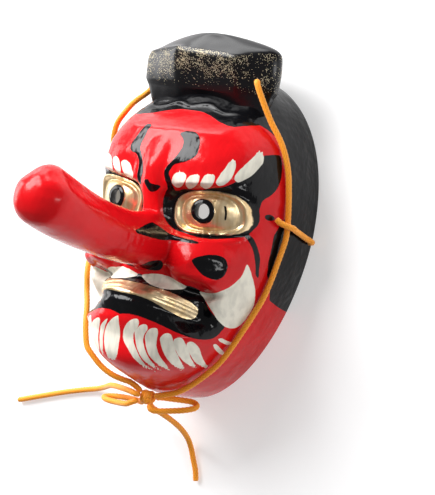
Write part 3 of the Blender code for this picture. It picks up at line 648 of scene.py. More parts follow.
# Outlines of the painted shapes, in millimetres: the first number is measured across a plane that is turned
# SIDE_VIEW to the side, so that shapes on the cheek and the temple keep their size, and the second is Y.
SIDE_VIEW = math.radians(33)
BROW_STROKES = [
    [(-35.5, 14.5), (-35, 18.5), (-32.5, 21), (-30, 21.5), (-27.5, 20), (-27.5, 16.5), (-29, 13),
     (-31.5, 11.5), (-34, 12.5)],
    [(-27, 14.5), (-26, 18.5), (-23, 21), (-19.5, 21), (-19.5, 16.5), (-21.5, 13.5), (-24.5, 12)],
    [(-18, 15.5), (-17, 20), (-15, 22.5), (-10.5, 22.5), (-10.5, 18), (-12, 15), (-15, 13.5)],
    [(-9, 18.5), (-7.5, 23), (-4.5, 28.5), (-2.5, 33.5), (0.5, 33), (1, 28), (-0.5, 22), (-3.5, 18),
     (-7, 16.5)],
    [(1.5, 22), (2.5, 26), (6, 31), (10.5, 37), (13.5, 42), (16.5, 40.5), (17, 35), (15, 31), (12, 26.5),
     (8, 23), (4, 20.5)],
]
FAR_BROW_STROKES = [
    [(-69, 20.5), (-68.5, 23), (-66, 23.5), (-63.5, 21.5), (-61.5, 18), (-60, 14.5), (-61, 12.5),
     (-63.5, 13), (-67, 16)],
    [(-75, 21), (-74.5, 24.5), (-72, 24.5), (-70, 20.5), (-68.5, 16), (-69.5, 14.5), (-72, 16)],
    [(-81, 20), (-80.5, 25), (-78.5, 26), (-76.5, 24), (-75.5, 20), (-74, 15.5), (-76.5, 15.5), (-79, 17)],
]
BEARD_STROKES = [
    [(-49.5, -82), (-49, -76.5), (-46.5, -72), (-43, -70), (-41, -71), (-41, -75), (-43, -79.5),
     (-42, -85), (-39, -90), (-34.5, -95.5), (-25, -101.5), (-33, -99.5), (-40, -95), (-44.5, -90),
     (-48, -86)],
    [(-42.5, -79), (-41.5, -76), (-39, -73), (-36, -72.5), (-35, -75), (-36.5, -79), (-36.5, -83),
     (-34.5, -88), (-30.5, -93.5), (-22, -100), (-30, -97.5), (-36, -93), (-40, -87)],
    [(-35.5, -82), (-35.5, -78), (-33.5, -74.5), (-30, -73.5), (-28.5, -75.5), (-28.5, -80),
     (-28, -84.5), (-25, -90.5), (-16.5, -99.5), (-23, -97.5), (-28, -94), (-32.5, -89.5)],
    [(-26.5, -80.5), (-26, -77.5), (-23.5, -75.5), (-20.5, -76), (-18.5, -80), (-16.5, -85), (-13, -91),
     (-8.5, -98), (-13, -97.5), (-18, -94), (-23, -88)],
    [(-18.5, -80), (-17, -77.5), (-14, -77), (-11, -80.5), (-8.5, -85), (-6, -90.5), (-1.5, -96.5),
     (-6, -95.5), (-11, -91.5), (-15.5, -86.5)],
    [(-10.5, -81), (-8.5, -78.5), (-5.5, -79.5), (-2.5, -82.5), (-0.5, -87), (2, -91.5), (5.5, -96),
     (1, -95.5), (-4, -91.5), (-8, -86)],
]
FAR_BEARD_STROKES = [
    [(-61, -87), (-61, -80.5), (-58.5, -74.5), (-55, -71), (-51.5, -70.5), (-49.8, -73.5),
     (-49.8, -79.5), (-50.3, -86), (-50.7, -92.5), (-51.5, -98), (-53.5, -99.5), (-57.5, -98),
     (-59.5, -93)],
    [(-64.5, -80), (-62.5, -76), (-60.5, -74), (-61.5, -79), (-62, -85), (-61, -92), (-60, -98),
     (-62.5, -95), (-64, -88)],
    [(-72, -84), (-70, -78), (-67, -75), (-65.3, -76), (-65.3, -82), (-64.8, -89), (-62.5, -97),
     (-66, -96), (-70, -91)],
]
CREAM_SHAPES = [
    [(17.5, -27.5), (20, -30.5), (22.5, -35.5), (25, -41.5), (26, -46.5), (26, -53), (23, -61),
     (19.5, -66), (16, -68), (11, -67.5), (6, -64), (2.5, -60), (-1.5, -55.5), (-5.5, -51.5),
     (-8, -48.5), (-2.5, -48.5), (3, -46.5), (8.5, -43), (13, -38.5), (16, -33.5)],
    [(-44.5, -45), (-41.5, -43.5), (-34.5, -42), (-28, -42.5), (-21.5, -44.5), (-16.5, -46.5),
     (-18, -48.5), (-23, -49.5), (-29, -50), (-35, -49.5), (-40.5, -48)],
    [(5.5, -80), (7, -79), (10, -81.5), (14, -85.5), (11.5, -86), (8, -83.5)],
    [(8, -76), (10, -75), (13.5, -76.5), (17, -77.5), (15.5, -79), (12, -78.5)],
]
FAR_WHISKER = [(-1.5, -46.5), (-3, -50), (-4.5, -54.5), (-4, -60), (-2.5, -65), (1, -68.5), (8, -68),
               (12, -60), (8, -50)]
BLACK_SHAPES = [
    [(17, 39), (19.5, 40), (23.5, 41), (27, 41), (28.5, 37.5), (29.5, 32), (29.5, 26), (28, 20.5),
     (25.5, 16.5), (21, 12.5), (20, 9.5), (19.5, 6.5), (20.5, 2.5), (20.5, -2), (18.5, -5.5),
     (14, -10.5), (8.5, -12.5), (2, -14), (-5, -15.5), (-14.5, -16), (-22.5, -15), (-28.5, -14),
     (-32.5, -12), (-36, -8.5), (-38, -4.5), (-39, 1.5), (-38.5, 6), (-37, 10), (-32, 9.5),
     (-26.5, 11.5), (-19, 12), (-11, 14.5), (-5, 16), (0.5, 19), (3.5, 21.5), (8, 24), (12, 28.5),
     (15, 33.5)],
    [(12.5, -10), (16, -10), (19, -11.5), (22, -16), (25, -22.5), (25.5, -29), (26, -34.5), (24, -33),
     (22.5, -26), (20, -19), (17, -14.5)],
    [(23.5, 3), (25.5, 4.5), (28.5, 4), (30, 2.5), (28, 1), (25, 1)],
    [(-46.5, -39), (-43.5, -37), (-40.5, -35), (-35.5, -33.5), (-33, -34.5), (-32.5, -37), (-34, -39.5),
     (-38, -40.5), (-43, -40.5)],
    [(-15.5, -30), (-12, -27), (-6.5, -25), (-0.5, -24.5), (4, -26), (6, -29.5), (6, -32.5), (5, -36),
     (2, -38.5), (-2, -39), (-7.5, -37.5), (-11.5, -34.5)],
    [(-60, -44), (-47, -44), (-42.5, -45), (-33.5, -46.5), (-25.5, -47), (-18, -46), (-13, -46),
     (-7.5, -48), (-4.5, -52), (-1.5, -56.5), (3, -61), (7, -64.5), (10.5, -67.5), (9, -70.5),
     (6, -74.5), (1, -76.5), (-5, -76.5), (-12, -75.5), (-18.5, -74), (-25, -72), (-32.5, -70),
     (-39.5, -68.5), (-47, -68), (-60, -68)],
]
TEETH_OUTLINE = [
    (-62, -49.3), (-52, -49.3), (-43.5, -49.3), (-35, -50), (-26.5, -51), (-18, -53.5), (-11.5, -56),
    (-7.5, -59), (-7, -62), (-8.5, -65), (-12, -66), (-16, -65.5), (-20.5, -64), (-27, -61.5),
    (-34, -58.5), (-41.5, -56.5), (-49, -56), (-62, -56)]
NEAR_HOOK = [
    (-35.5, 44), (-32.5, 46), (-27.5, 46.5), (-24, 44.5), (-22.5, 40.5), (-22.5, 36.5), (-23, 33),
    (-25, 30.5), (-28.5, 28), (-32, 26.5), (-35.5, 25), (-37, 22.5), (-38, 19.5), (-36.5, 16),
    (-34, 11.5), (-32, 8), (-36, 7.5), (-38, 12), (-39.8, 15.5), (-41, 19), (-40.3, 22.5), (-38, 26),
    (-35.5, 30), (-33.5, 34), (-32.5, 37), (-33, 41)]
FAR_HOOK = [
    (-57, 47.5), (-54, 47), (-56, 43), (-57, 39), (-58, 36), (-58.5, 32), (-56.5, 27), (-55, 22.5),
    (-54, 17.5), (-54.5, 14), (-54, 10), (-56, 11), (-57.5, 14.5), (-57.5, 19), (-58, 24), (-60.5, 28),
    (-63.5, 29), (-65, 31), (-64.5, 34.5), (-62.5, 38.5), (-59.5, 44)]
CHEVRON = [(-52.5, 12.5), (-50, 13.5), (-48, 11.5), (-42.5, 11), (-42, 10), (-44, 7.5), (-47, 6.5),
           (-50, 8.5)]

# The black corner of the eye beside the nose, as pairs of Z and Y on the nose's side
CORNER_OUTLINE = [(118, -18), (108, -15), (98, -12.5), (93, -11.5), (88, -13.5), (84, -16), (80.5, -19),
                  (85, -20.5), (93, -21), (105, -20)]

# The hairline: for an angle from the crown, in degrees, how far out the black lacquer starts
HAIRLINE = [(0, 11.5), (7, 12), (14, 9.5), (22, 5.5), (28, 5), (31, 9), (32.5, 19), (34, 33), (37, 38),
            (42, 43), (48, 40.5), (57, 38), (66, 36.5), (76, 35.5), (82, 28), (88, 23), (103, 24),
            (110, 27.5), (114, 34), (123, 45), (126, 60), (129, 80), (130, 200)]
HAIR_CENTRE_Y = -10.0

# How far from an outline its distance is kept, and where on the face each kind of outline is laid
PAINT_REACH = 3.0
FACE_PAINT_TOP = 112.0
EYE_PAINT_Z = (40.0, 90.0)
CORNER_INNER_X = 8.0
CORNER_FOOT_Z = 78.0


def side_place(points):
    """Where points are across the plane that the painted outlines are drawn on."""
    return points[:, 0] * math.cos(SIDE_VIEW) - points[:, 2] * math.sin(SIDE_VIEW)


def curve_point(p0, p1, p2, p3, t):
    """A point at the share t of the way from p1 to p2, on a smooth curve through all four."""
    return 0.5 * (2 * p1 + (p2 - p0) * t + (2 * p0 - 5 * p1 + 4 * p2 - p3) * t ** 2
                  + (3 * p1 - p0 - 3 * p2 + p3) * t ** 3)


def smooth_outline(corners, steps=6):
    """A closed smooth curve through an outline's corners."""
    corners = np.array(corners, dtype=float)
    p0, p1 = np.roll(corners, 1, axis=0), corners
    p2, p3 = np.roll(corners, -1, axis=0), np.roll(corners, -2, axis=0)
    curve = [curve_point(p0, p1, p2, p3, t) for t in np.arange(steps) / steps]
    return np.stack(curve, axis=1).reshape(-1, 2)


def outline_distance(across, up, corners):
    """How far each point is inside an outline, negative outside and clipped at PAINT_REACH."""
    outline = smooth_outline(corners)
    low = outline.min(axis=0) - PAINT_REACH
    high = outline.max(axis=0) + PAINT_REACH
    result = np.full(len(across), -PAINT_REACH)
    near = np.nonzero((across > low[0]) & (across < high[0]) & (up > low[1]) & (up < high[1]))[0]
    place = np.stack([across[near], up[near]], axis=1)[:, None, :]
    start, end = outline[None], np.roll(outline, -1, axis=0)[None]
    edge = end - start
    share = np.clip(((place - start) * edge).sum(-1) / (edge ** 2).sum(-1), 0.0, 1.0)
    distance = np.sqrt((((place - start) - share[..., None] * edge) ** 2).sum(-1)).min(axis=1)
    spans = (start[..., 1] > place[..., 1]) != (end[..., 1] > place[..., 1])
    slope = edge[..., 0] / np.where(edge[..., 1] == 0.0, 1e-9, edge[..., 1])
    left = place[..., 0] < start[..., 0] + (place[..., 1] - start[..., 1]) * slope
    inside = (np.sum(spans & left, axis=1) % 2) == 1
    result[near] = np.clip(np.where(inside, distance, -distance), -PAINT_REACH, PAINT_REACH)
    return result


def largest(distances):
    return np.max(np.stack(distances), axis=0)


def tip_share(y, distances, upward):
    """How far each point is along the stroke that it is on, from its root to its tip."""
    share = np.zeros(len(y))
    for distance in distances:
        near = distance > -1.5
        low, high = y[near].min(), y[near].max()
        along = (y - low) / (high - low) if upward else (high - y) / (high - low)
        share = np.where(near, np.maximum(share, along), share)
    return share


def hair_distance(points):
    """How far each point is inside the black lacquer over the hairline and down the side."""
    across, up = np.abs(points[:, 0]), points[:, 1] - HAIR_CENTRE_Y
    angle = np.degrees(np.arctan2(across, up))
    starts = np.interp(angle, [a for a, _ in HAIRLINE], [m for _, m in HAIRLINE])
    return np.clip((np.hypot(across, up) - points[:, 2] - starts) * 0.8, -PAINT_REACH, PAINT_REACH)


def paint_distances(points, normals):
    """The distances that each colour of paint is laid out by, one value for each point."""
    x, y, z = points.T
    a = np.abs(x)
    mirrored = np.stack([a, y, z], axis=1)
    signed_place, mirrored_place = side_place(points), side_place(mirrored)
    facing = normals[:, 2] + 0.7 * np.abs(normals[:, 0]) > 0.05
    on_face = facing & (z < FACE_PAINT_TOP)
    near, far = on_face & (x > 0.0), on_face & (x <= 0.0)
    far_front = far & (normals[:, 2] + 0.6 * normals[:, 0] > -0.1)

    def laid(shapes, place, where):
        return [np.where(where, outline_distance(place, y, shape), -PAINT_REACH) for shape in shapes]

    beside_nose = (a > CORNER_INNER_X) & (z > CORNER_FOOT_Z)
    corner = np.where(beside_nose, outline_distance(z, y, CORNER_OUTLINE), -PAINT_REACH)
    black = largest(laid(BLACK_SHAPES, mirrored_place, on_face) + laid([NEAR_HOOK], signed_place, near)
                    + laid([FAR_HOOK, CHEVRON], signed_place, on_face) + [hair_distance(points), corner])
    strokes = (laid(BROW_STROKES, signed_place, near) + laid(BROW_STROKES[3:], mirrored_place, far)
               + laid(FAR_BROW_STROKES, signed_place, far_front))
    near_beard = laid(BEARD_STROKES, signed_place, near)
    far_beard = (laid(FAR_BEARD_STROKES, signed_place, far_front)
                 + laid(BEARD_STROKES[3:], mirrored_place, far))
    shapes = laid(CREAM_SHAPES, mirrored_place, on_face) + laid([FAR_WHISKER], mirrored_place, far)
    cream_a = largest(strokes + near_beard[0::2] + far_beard[1::2] + shapes)
    cream_b = largest(near_beard[1::2] + far_beard[0::2])
    eye = np.clip((EYE_GOLD_EDGE - eye_measure(a, y)) * EYE_HALF_HEIGHT, -PAINT_REACH, PAINT_REACH)
    eye = np.where(facing & (z > EYE_PAINT_Z[0]) & (z < EYE_PAINT_Z[1]), eye, -PAINT_REACH)
    teeth = laid([TEETH_OUTLINE], mirrored_place, on_face)
    ring = PUPIL_RING_RADIUS - np.hypot(a - PUPIL_X, y - PUPIL_Y)
    crescent = CRESCENT_HALF_BREADTH - np.abs(np.hypot(a - PUPIL_X, y - PUPIL_Y) - CRESCENT_RADIUS)
    crescent = np.minimum(crescent, CRESCENT_HALF_LENGTH - np.abs(y - CRESCENT_Y))
    crescent = np.where(a > PUPIL_X, crescent, -PAINT_REACH)
    ring = np.clip(np.maximum(ring, crescent), -PAINT_REACH, PAINT_REACH)
    tips = np.maximum(tip_share(y, strokes, True), tip_share(y, near_beard + far_beard, False))
    return {"black": black, "cream_a": cream_a, "cream_b": cream_b, "gold": largest([eye] + teeth),
            "ring": ring, "tip": tips}


def hollow_share(points):
    """1 on the hollow's surface and 0 on the outside."""
    x, y, z = points.T
    measure = rim_measure(x, y, WALL)
    middle = 0.5 * (face_height(x, y) + inner_height(x, y))
    in_bowl = (z < np.where(measure < 1.0, middle, -1.0))
    from_axis = np.hypot(x, y - nose_axis(z))
    in_nose = (z < NOSE_HOLLOW_END + 1.0) & (from_axis < 0.5 * (NOSE_HOLLOW_RADIUS + NOSE_SHAFT_RADIUS))
    low_nose = np.hypot(x, y - NOSE_FOOT_Y) < NOSE_FOOT_RADIUS + 1.0
    return np.where(low_nose, in_nose | (z < NOSE_INSIDE_Z), in_bowl).astype(float)


def select_only(obj):
    bpy.ops.object.select_all(action='DESELECT')
    obj.select_set(True)
    bpy.context.view_layer.objects.active = obj


def face_outward(obj):
    """Turns a closed piece's faces outward."""
    select_only(obj)
    bpy.ops.object.mode_set(mode='EDIT')
    bpy.ops.mesh.select_all(action='SELECT')
    bpy.ops.mesh.normals_make_consistent(inside=False)
    bpy.ops.object.mode_set(mode='OBJECT')


def mesh_object(name, points, faces):
    """A mesh from points in metres."""
    mesh = bpy.data.meshes.new(name)
    mesh.from_pydata([tuple(p) for p in points], [], faces)
    mesh.update()
    obj = bpy.data.objects.new(name, mesh)
    bpy.context.collection.objects.link(obj)
    return obj


def store(mesh, name, values):
    attribute = mesh.attributes.new(name, 'FLOAT', 'POINT')
    attribute.data.foreach_set("value", np.asarray(values, dtype=np.float32))


def place_of(mesh):
    """The mesh's points in millimetres in the mask's own frame, and their normals."""
    count = len(mesh.vertices)
    points, normals = np.empty(count * 3), np.empty(count * 3)
    mesh.vertices.foreach_get("co", points)
    mesh.vertex_normals.foreach_get("vector", normals)
    points = points.reshape(-1, 3) / MM
    points[:, 1] -= CENTRE_Y
    return points, normals.reshape(-1, 3)


def smooth_route(corners, side=1.0):
    """Closely spaced points on a smooth curve through a cord's corners, mirrored where side is -1."""
    corners = np.array(corners, dtype=float)
    padded = np.concatenate([[2 * corners[0] - corners[1]], corners, [2 * corners[-1] - corners[-2]]])
    shares = np.linspace(0.0, 1.0, ROUTE_STEPS, endpoint=False)
    curve = [curve_point(*padded[i:i + 4], t) for i in range(len(corners) - 1) for t in shares]
    curve = np.array(curve + [corners[-1]])
    curve[:, 0] *= side
    return curve


def evenly(route, spacing):
    """A route's points, moved to even distances along it."""
    length = np.concatenate([[0.0], np.cumsum(np.linalg.norm(np.diff(route, axis=0), axis=1))])
    even = np.linspace(0.0, length[-1], max(2, int(round(length[-1] / spacing)) + 1))
    return np.stack([np.interp(even, length, route[:, i]) for i in range(3)], axis=1), even


def route_frames(route):
    """Two directions across a route at each of its points, carried along it without twisting."""
    along = np.gradient(route, axis=0)
    along /= np.linalg.norm(along, axis=1)[:, None]
    across = np.cross(along[0], (0.0, 0.0, 1.0) if abs(along[0][2]) < 0.9 else (1.0, 0.0, 0.0))
    sides = []
    for direction in along:
        across = across - direction * np.dot(across, direction)
        across /= np.linalg.norm(across)
        sides.append(across)
    sides = np.array(sides)
    return sides, np.cross(along, sides)


def braid_height(turn, distance, pick):
    """The braid's relief from -1 to 0: two sets of strands that wind both ways and pass over each other."""
    one = turn * STRANDS / (2.0 * math.pi) + distance / pick
    other = turn * STRANDS / (2.0 * math.pi) - distance / pick
    upper = (np.floor(one) + np.floor(other)) % 2 == 0
    over_one = np.sin(math.pi * (one % 1.0)) * (0.5 + 0.5 * np.sin(math.pi * (other % 1.0)))
    over_other = np.sin(math.pi * (other % 1.0)) * (0.5 + 0.5 * np.sin(math.pi * (one % 1.0)))
    return np.where(upper, over_one, over_other) ** 0.7 - 1.0


def tube_mesh(route, radius, settings):
    """Points, faces and braid heights of one braided length of cord with closed ends."""
    route, distance = evenly(route, settings.ring_spacing)
    one, other = route_frames(route)
    turn = 2.0 * math.pi * np.arange(CORD_SIDES) / CORD_SIDES
    height = braid_height(turn[None, :], distance[:, None], settings.pick)
    reach = radius * (1.0 + BRAID_DEPTH * height)
    end = np.minimum(distance, distance[-1] - distance)
    reach = reach * (0.8 + 0.2 * np.clip(end / (0.4 * radius), 0.0, 1.0))[:, None]
    points = (route[:, None, :] + reach[..., None] * (np.cos(turn)[None, :, None] * one[:, None, :]
                                                       + np.sin(turn)[None, :, None] * other[:, None, :]))
    points = np.concatenate([points.reshape(-1, 3), [route[0]], [route[-1]]])
    heights = np.concatenate([height.reshape(-1), [0.0, 0.0]])
    faces = ring_faces(len(route), CORD_SIDES)
    first, last = len(points) - 2, len(points) - 1
    base = (len(route) - 1) * CORD_SIDES
    faces += [(first, (j + 1) % CORD_SIDES, j) for j in range(CORD_SIDES)]
    faces += [(last, base + j, base + (j + 1) % CORD_SIDES) for j in range(CORD_SIDES)]
    return points, faces, heights


def braided_piece(name, routes, node_name):
    """A piece of cord that stands for a node, made of one or more braided lengths."""
    settings = bpy.context.scene.tengu_cord
    points, faces, heights, first = [], [], [], 0
    for route in routes:
        some_points, some_faces, some_heights = tube_mesh(route, 0.5 * settings.diameter, settings)
        points.append(some_points)
        heights.append(some_heights)
        faces += [tuple(first + i for i in face) for face in some_faces]
        first += len(some_points)
    piece = mesh_object(name, np.concatenate(points), faces)
    face_outward(piece)
    bpy.ops.object.shade_smooth()
    store(piece.data, "braid", np.concatenate(heights))
    piece.data.materials.append(cord_material())
    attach(piece, "root")
    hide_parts(node_name)
    return piece


def free_cord(name, corners, node_name):
    """A braided stretch of cord along a smooth curve through its corners."""
    route = smooth_route(corners)
    piece = braided_piece(name, [route], node_name)


def knot_routes():
    """The wraps of the bow's knot: two upright turns side by side and one that crosses them."""
    centre = np.array(KNOT_CENTRE)
    turn = np.linspace(0.0, 2.0 * math.pi, 40)
    routes = []
    for offset, lean in ((-0.0019, 0.25), (0.0019, -0.25)):
        across = offset + lean * 0.0028 * np.sin(turn)
        ring = np.stack([across, 0.0027 * np.cos(turn), 0.0031 * np.sin(turn)], axis=1)
        routes.append(centre + ring)
    ring = np.stack([0.0034 * np.cos(turn), 0.0028 * np.sin(turn), 0.0016 * np.cos(turn) + 0.001], axis=1)
    routes.append(centre + ring)
    return routes


def add_node(tree, kind, inputs=None, **settings):
    """A node with its settings; an input is either a value or the output that it is linked to."""
    node = tree.nodes.new(kind)
    for name, value in settings.items():
        setattr(node, name, value)
    for socket, value in (inputs or {}).items():
        if isinstance(value, bpy.types.NodeSocket):
            tree.links.new(value, node.inputs[socket])
        else:
            node.inputs[socket].default_value = value
    return node


def new_material(name):
    """A material with an empty shader, its tree and its shader node."""
    material = bpy.data.materials.new(name)
    material.use_nodes = True
    return material, material.node_tree, material.node_tree.nodes["Principled BSDF"]


def colour(values):
    return (values[0], values[1], values[2], 1.0)


def mix_colour(tree, factor, first, second):
    return add_node(tree, "ShaderNodeMix", {0: factor, 6: first, 7: second}, data_type='RGBA').outputs[2]


def mix_value(tree, factor, first, second):
    return add_node(tree, "ShaderNodeMix", {0: factor, 2: first, 3: second}, data_type='FLOAT').outputs[0]


def calculate(tree, operation, first, second=0.0, third=0.0):
    return add_node(tree, "ShaderNodeMath", {0: first, 1: second, 2: third}, operation=operation).outputs[0]


def remap(tree, value, low, high, to_low=0.0, to_high=1.0):
    """A value from low to high as one from to_low to to_high, with soft ends."""
    return add_node(tree, "ShaderNodeMapRange", {0: value, 1: low, 2: high, 3: to_low, 4: to_high},
                    interpolation_type='SMOOTHSTEP').outputs[0]


def noise(tree, scale, stretch=(1.0, 1.0, 1.0), detail=2.0, roughness=0.5):
    """Smooth noise in metres on the piece; scale is the number of waves in a metre."""
    place = add_node(tree, "ShaderNodeTexCoord").outputs["Object"]
    mapping = add_node(tree, "ShaderNodeMapping", {"Vector": place, "Scale": stretch})
    settings = {"Vector": mapping.outputs[0], "Scale": scale, "Detail": detail, "Roughness": roughness}
    return add_node(tree, "ShaderNodeTexNoise", settings).outputs[0]


def attribute_value(tree, name):
    return add_node(tree, "ShaderNodeAttribute", attribute_name=name).outputs["Fac"]


def painted(tree, name, wobble):
    """1 inside a painted shape and 0 outside, from its distance in millimetres and a little unevenness."""
    distance = calculate(tree, 'ADD', attribute_value(tree, name), wobble)
    return remap(tree, distance, -PAINT_SOFTNESS, PAINT_SOFTNESS)


def lacquer_material():
    """Brushed red, black, cream and gold paint under one glossy coat."""
    paint = bpy.context.scene.tengu_paint
    material, tree, shader = new_material("painted_lacquer")
    uneven = noise(tree, 330.0)
    wobble = calculate(tree, 'MULTIPLY_ADD', uneven, 0.5, -0.25)
    bristles = noise(tree, 1500.0, (1.0, 0.12, 0.5), 1.0)
    ragged = calculate(tree, 'MULTIPLY', calculate(tree, 'MULTIPLY_ADD', bristles, 5.0, -3.4),
                       remap(tree, attribute_value(tree, "tip"), 0.72, 1.0))
    cream_wobble = calculate(tree, 'ADD', wobble, ragged)
    black = painted(tree, "black", wobble)
    cream = calculate(tree, 'MAXIMUM', painted(tree, "cream_a", cream_wobble),
                      painted(tree, "cream_b", cream_wobble))
    gold = painted(tree, "gold", wobble)
    ring = painted(tree, "ring", wobble)
    hollow = attribute_value(tree, "hollow")
    broad = noise(tree, 28.0, detail=3.0)
    streaks = noise(tree, 420.0, (1.0, 0.15, 0.4), 3.0)
    red = mix_colour(tree, remap(tree, broad, 0.3, 0.7), colour(paint.red),
                     colour([c * 0.8 for c in paint.red]))
    cream_colour = mix_colour(tree, remap(tree, streaks, 0.35, 0.7), colour(paint.cream),
                              colour([c * 0.82 for c in paint.cream]))
    gold_colour = mix_colour(tree, remap(tree, streaks, 0.3, 0.75), colour(paint.gold),
                             colour([c * f for c, f in zip(paint.gold, (0.8, 0.7, 0.55))]))
    base = mix_colour(tree, black, red, colour(paint.black))
    base = mix_colour(tree, cream, base, cream_colour)
    base = mix_colour(tree, gold, base, gold_colour)
    base = mix_colour(tree, ring, base, colour(paint.black))
    pulp = mix_colour(tree, remap(tree, streaks, 0.3, 0.7), colour(paint.inside),
                      colour([c * 0.85 for c in paint.inside]))
    base = mix_colour(tree, hollow, base, pulp)
    bare_gold = calculate(tree, 'MULTIPLY', gold, calculate(tree, 'SUBTRACT', 1.0, ring))
    bare_gold = calculate(tree, 'MULTIPLY', bare_gold, calculate(tree, 'SUBTRACT', 1.0, hollow))
    gloss = mix_value(tree, black, RED_ROUGHNESS, BLACK_ROUGHNESS)
    gloss = mix_value(tree, cream, gloss, CREAM_ROUGHNESS)
    gloss = mix_value(tree, bare_gold, gloss, GOLD_ROUGHNESS)
    gloss = mix_value(tree, hollow, gloss, HOLLOW_ROUGHNESS)
    waves = noise(tree, 75.0, detail=2.0)
    ripples = noise(tree, 260.0, (1.0, 0.6, 1.0), 2.0)
    ripple = bpy.context.scene.tengu_form.ripple
    swell = add_node(tree, "ShaderNodeBump", {"Height": waves, "Distance": ripple, "Strength": 0.45})
    rough = calculate(tree, 'MULTIPLY', ripples, mix_value(tree, black, 0.6, 1.0))
    fine = add_node(tree, "ShaderNodeBump", {"Height": rough, "Distance": 0.0005, "Strength": 0.6,
                                             "Normal": swell.outputs[0]})
    links = tree.links
    links.new(base, shader.inputs["Base Color"])
    links.new(gloss, shader.inputs["Roughness"])
    links.new(calculate(tree, 'MULTIPLY', bare_gold, GOLD_METAL), shader.inputs["Metallic"])
    links.new(fine.outputs[0], shader.inputs["Normal"])
    shader.inputs["Specular IOR Level"].default_value = 0.22
    return material


def pupil_drill(side):
    """A drill that is straight through the sloping outer lip and flares towards the hollow."""
    low, high = PUPIL_CUT_Z
    flared = PUPIL_RADIUS + (PUPIL_LIP_Z - low) * math.tan(PUPIL_FLARE)
    turns = 2.0 * math.pi * np.arange(PUPIL_SIDES) / PUPIL_SIDES
    lip_z = PUPIL_LIP_Z - side * PUPIL_LIP_SLOPE * PUPIL_RADIUS * np.sin(turns)
    rings = []
    for z, radius in ((high, PUPIL_RADIUS), (lip_z, PUPIL_RADIUS), (low, flared)):
        x = side * PUPIL_X + radius * np.sin(turns)
        y = PUPIL_Y + CENTRE_Y + radius * np.cos(turns)
        rings.append(np.column_stack([x, y, np.full(PUPIL_SIDES, z)]))
    faces = ring_faces(len(rings), PUPIL_SIDES)
    last = (len(rings) - 1) * PUPIL_SIDES
    faces += [tuple(range(PUPIL_SIDES - 1, -1, -1)), tuple(range(last, last + PUPIL_SIDES))]
    return mesh_object("pupil_drill", np.concatenate(rings) * MM, faces)


def cap_material():
    """Black lacquer with gold flecks strewn over the cap's sides."""
    paint = bpy.context.scene.tengu_paint
    material, tree, shader = new_material("flecked_lacquer")
    place = add_node(tree, "ShaderNodeTexCoord").outputs["Object"]
    cells = add_node(tree, "ShaderNodeTexVoronoi", {"Vector": place, "Scale": FLECKS_PER_METRE})
    chance = add_node(tree, "ShaderNodeSeparateColor", {0: cells.outputs["Color"]}).outputs[0]
    patches = remap(tree, noise(tree, 110.0, detail=2.0), 0.4, 0.6, 0.25, 1.5)
    density = calculate(tree, 'MULTIPLY', attribute_value(tree, "fleck"), patches)
    kept = calculate(tree, 'LESS_THAN', chance, density)
    fleck = calculate(tree, 'MULTIPLY', remap(tree, cells.outputs["Distance"], 0.5, 0.34), kept)
    base = mix_colour(tree, fleck, colour(paint.black), colour(paint.fleck))
    waves = noise(tree, 90.0, detail=1.0)
    swell = add_node(tree, "ShaderNodeBump", {"Height": waves, "Distance": 0.0008, "Strength": 0.3})
    grains = add_node(tree, "ShaderNodeBump", {"Height": fleck, "Distance": 0.0002, "Strength": 0.5,
                                               "Normal": swell.outputs[0]})
    tree.links.new(base, shader.inputs["Base Color"])
    tree.links.new(mix_value(tree, fleck, CAP_ROUGHNESS, FLECK_ROUGHNESS), shader.inputs["Roughness"])
    tree.links.new(calculate(tree, 'MULTIPLY', fleck, FLECK_METAL), shader.inputs["Metallic"])
    tree.links.new(grains.outputs[0], shader.inputs["Normal"])
    shader.inputs["Specular IOR Level"].default_value = 0.32
    return material


def cord_material():
    """Braided orange cord, with painted shade that makes it darker and redder between its strands."""
    existing = bpy.data.materials.get("orange_braid")
    if existing:
        return existing
    settings = bpy.context.scene.tengu_cord
    material, tree, shader = new_material("orange_braid")
    # Painted shade: the colour gets darker and redder the deeper a point lies in the gaps between the
    # strands.
    depth = remap(tree, attribute_value(tree, "braid"), -0.95, -0.3)
    painted_gap_shade = colour([c * f for c, f in zip(settings.colour, (0.7, 0.42, 0.4))])
    strand_with_painted_shade = mix_colour(tree, depth, painted_gap_shade, colour(settings.colour))
    fibres = noise(tree, 2500.0, detail=2.0)
    worn = mix_colour(tree, remap(tree, fibres, 0.4, 0.8, 0.0, 0.25), strand_with_painted_shade, colour((1.0, 0.52, 0.06)))
    bump = add_node(tree, "ShaderNodeBump", {"Height": fibres, "Distance": 0.00008, "Strength": 0.6})
    tree.links.new(worn, shader.inputs["Base Color"])
    tree.links.new(remap(tree, fibres, 0.2, 0.8, 0.5, 0.72), shader.inputs["Roughness"])
    tree.links.new(bump.outputs[0], shader.inputs["Normal"])
    shader.inputs["Sheen Weight"].default_value = 0.25
    shader.inputs["Sheen Roughness"].default_value = 0.4
    return material


def cap_outline(scale, front_z, middle_z=CAP_MIDDLE_Z):
    """The cap's faceted outline at one level, as pairs of X and Z in millimetres."""
    half = [(0.0, front_z),
            (CAP_FRONT_HALF_WIDTH, front_z),
            (CAP_CORNER_X, CAP_CORNER_Z),
            (CAP_SIDE_X, CAP_SIDE_Z),
            (CAP_BACK_HALF_WIDTH, CAP_BACK_CORNER_Z),
            (0.0, CAP_BACK_Z)]
    outline = [(x * scale, middle_z + (z - middle_z) * scale) for x, z in half]
    return outline + [(-x, z) for x, z in reversed(outline[1:-1])]


def crown_y(x, z):
    """Where the crown's surface has the height z, over one x."""
    y = np.linspace(CROWN_SEARCH_FROM, CROWN_REACH, CROWN_SEARCH_STEPS)
    heights = face_height(np.full_like(y, x), y)
    above = np.nonzero(heights > z)[0]
    return y[above[-1]] if len(above) else CROWN_SEARCH_ELSE


def in_metres(x, y, z):
    return Vector((x, y + CENTRE_Y, z)) * MM


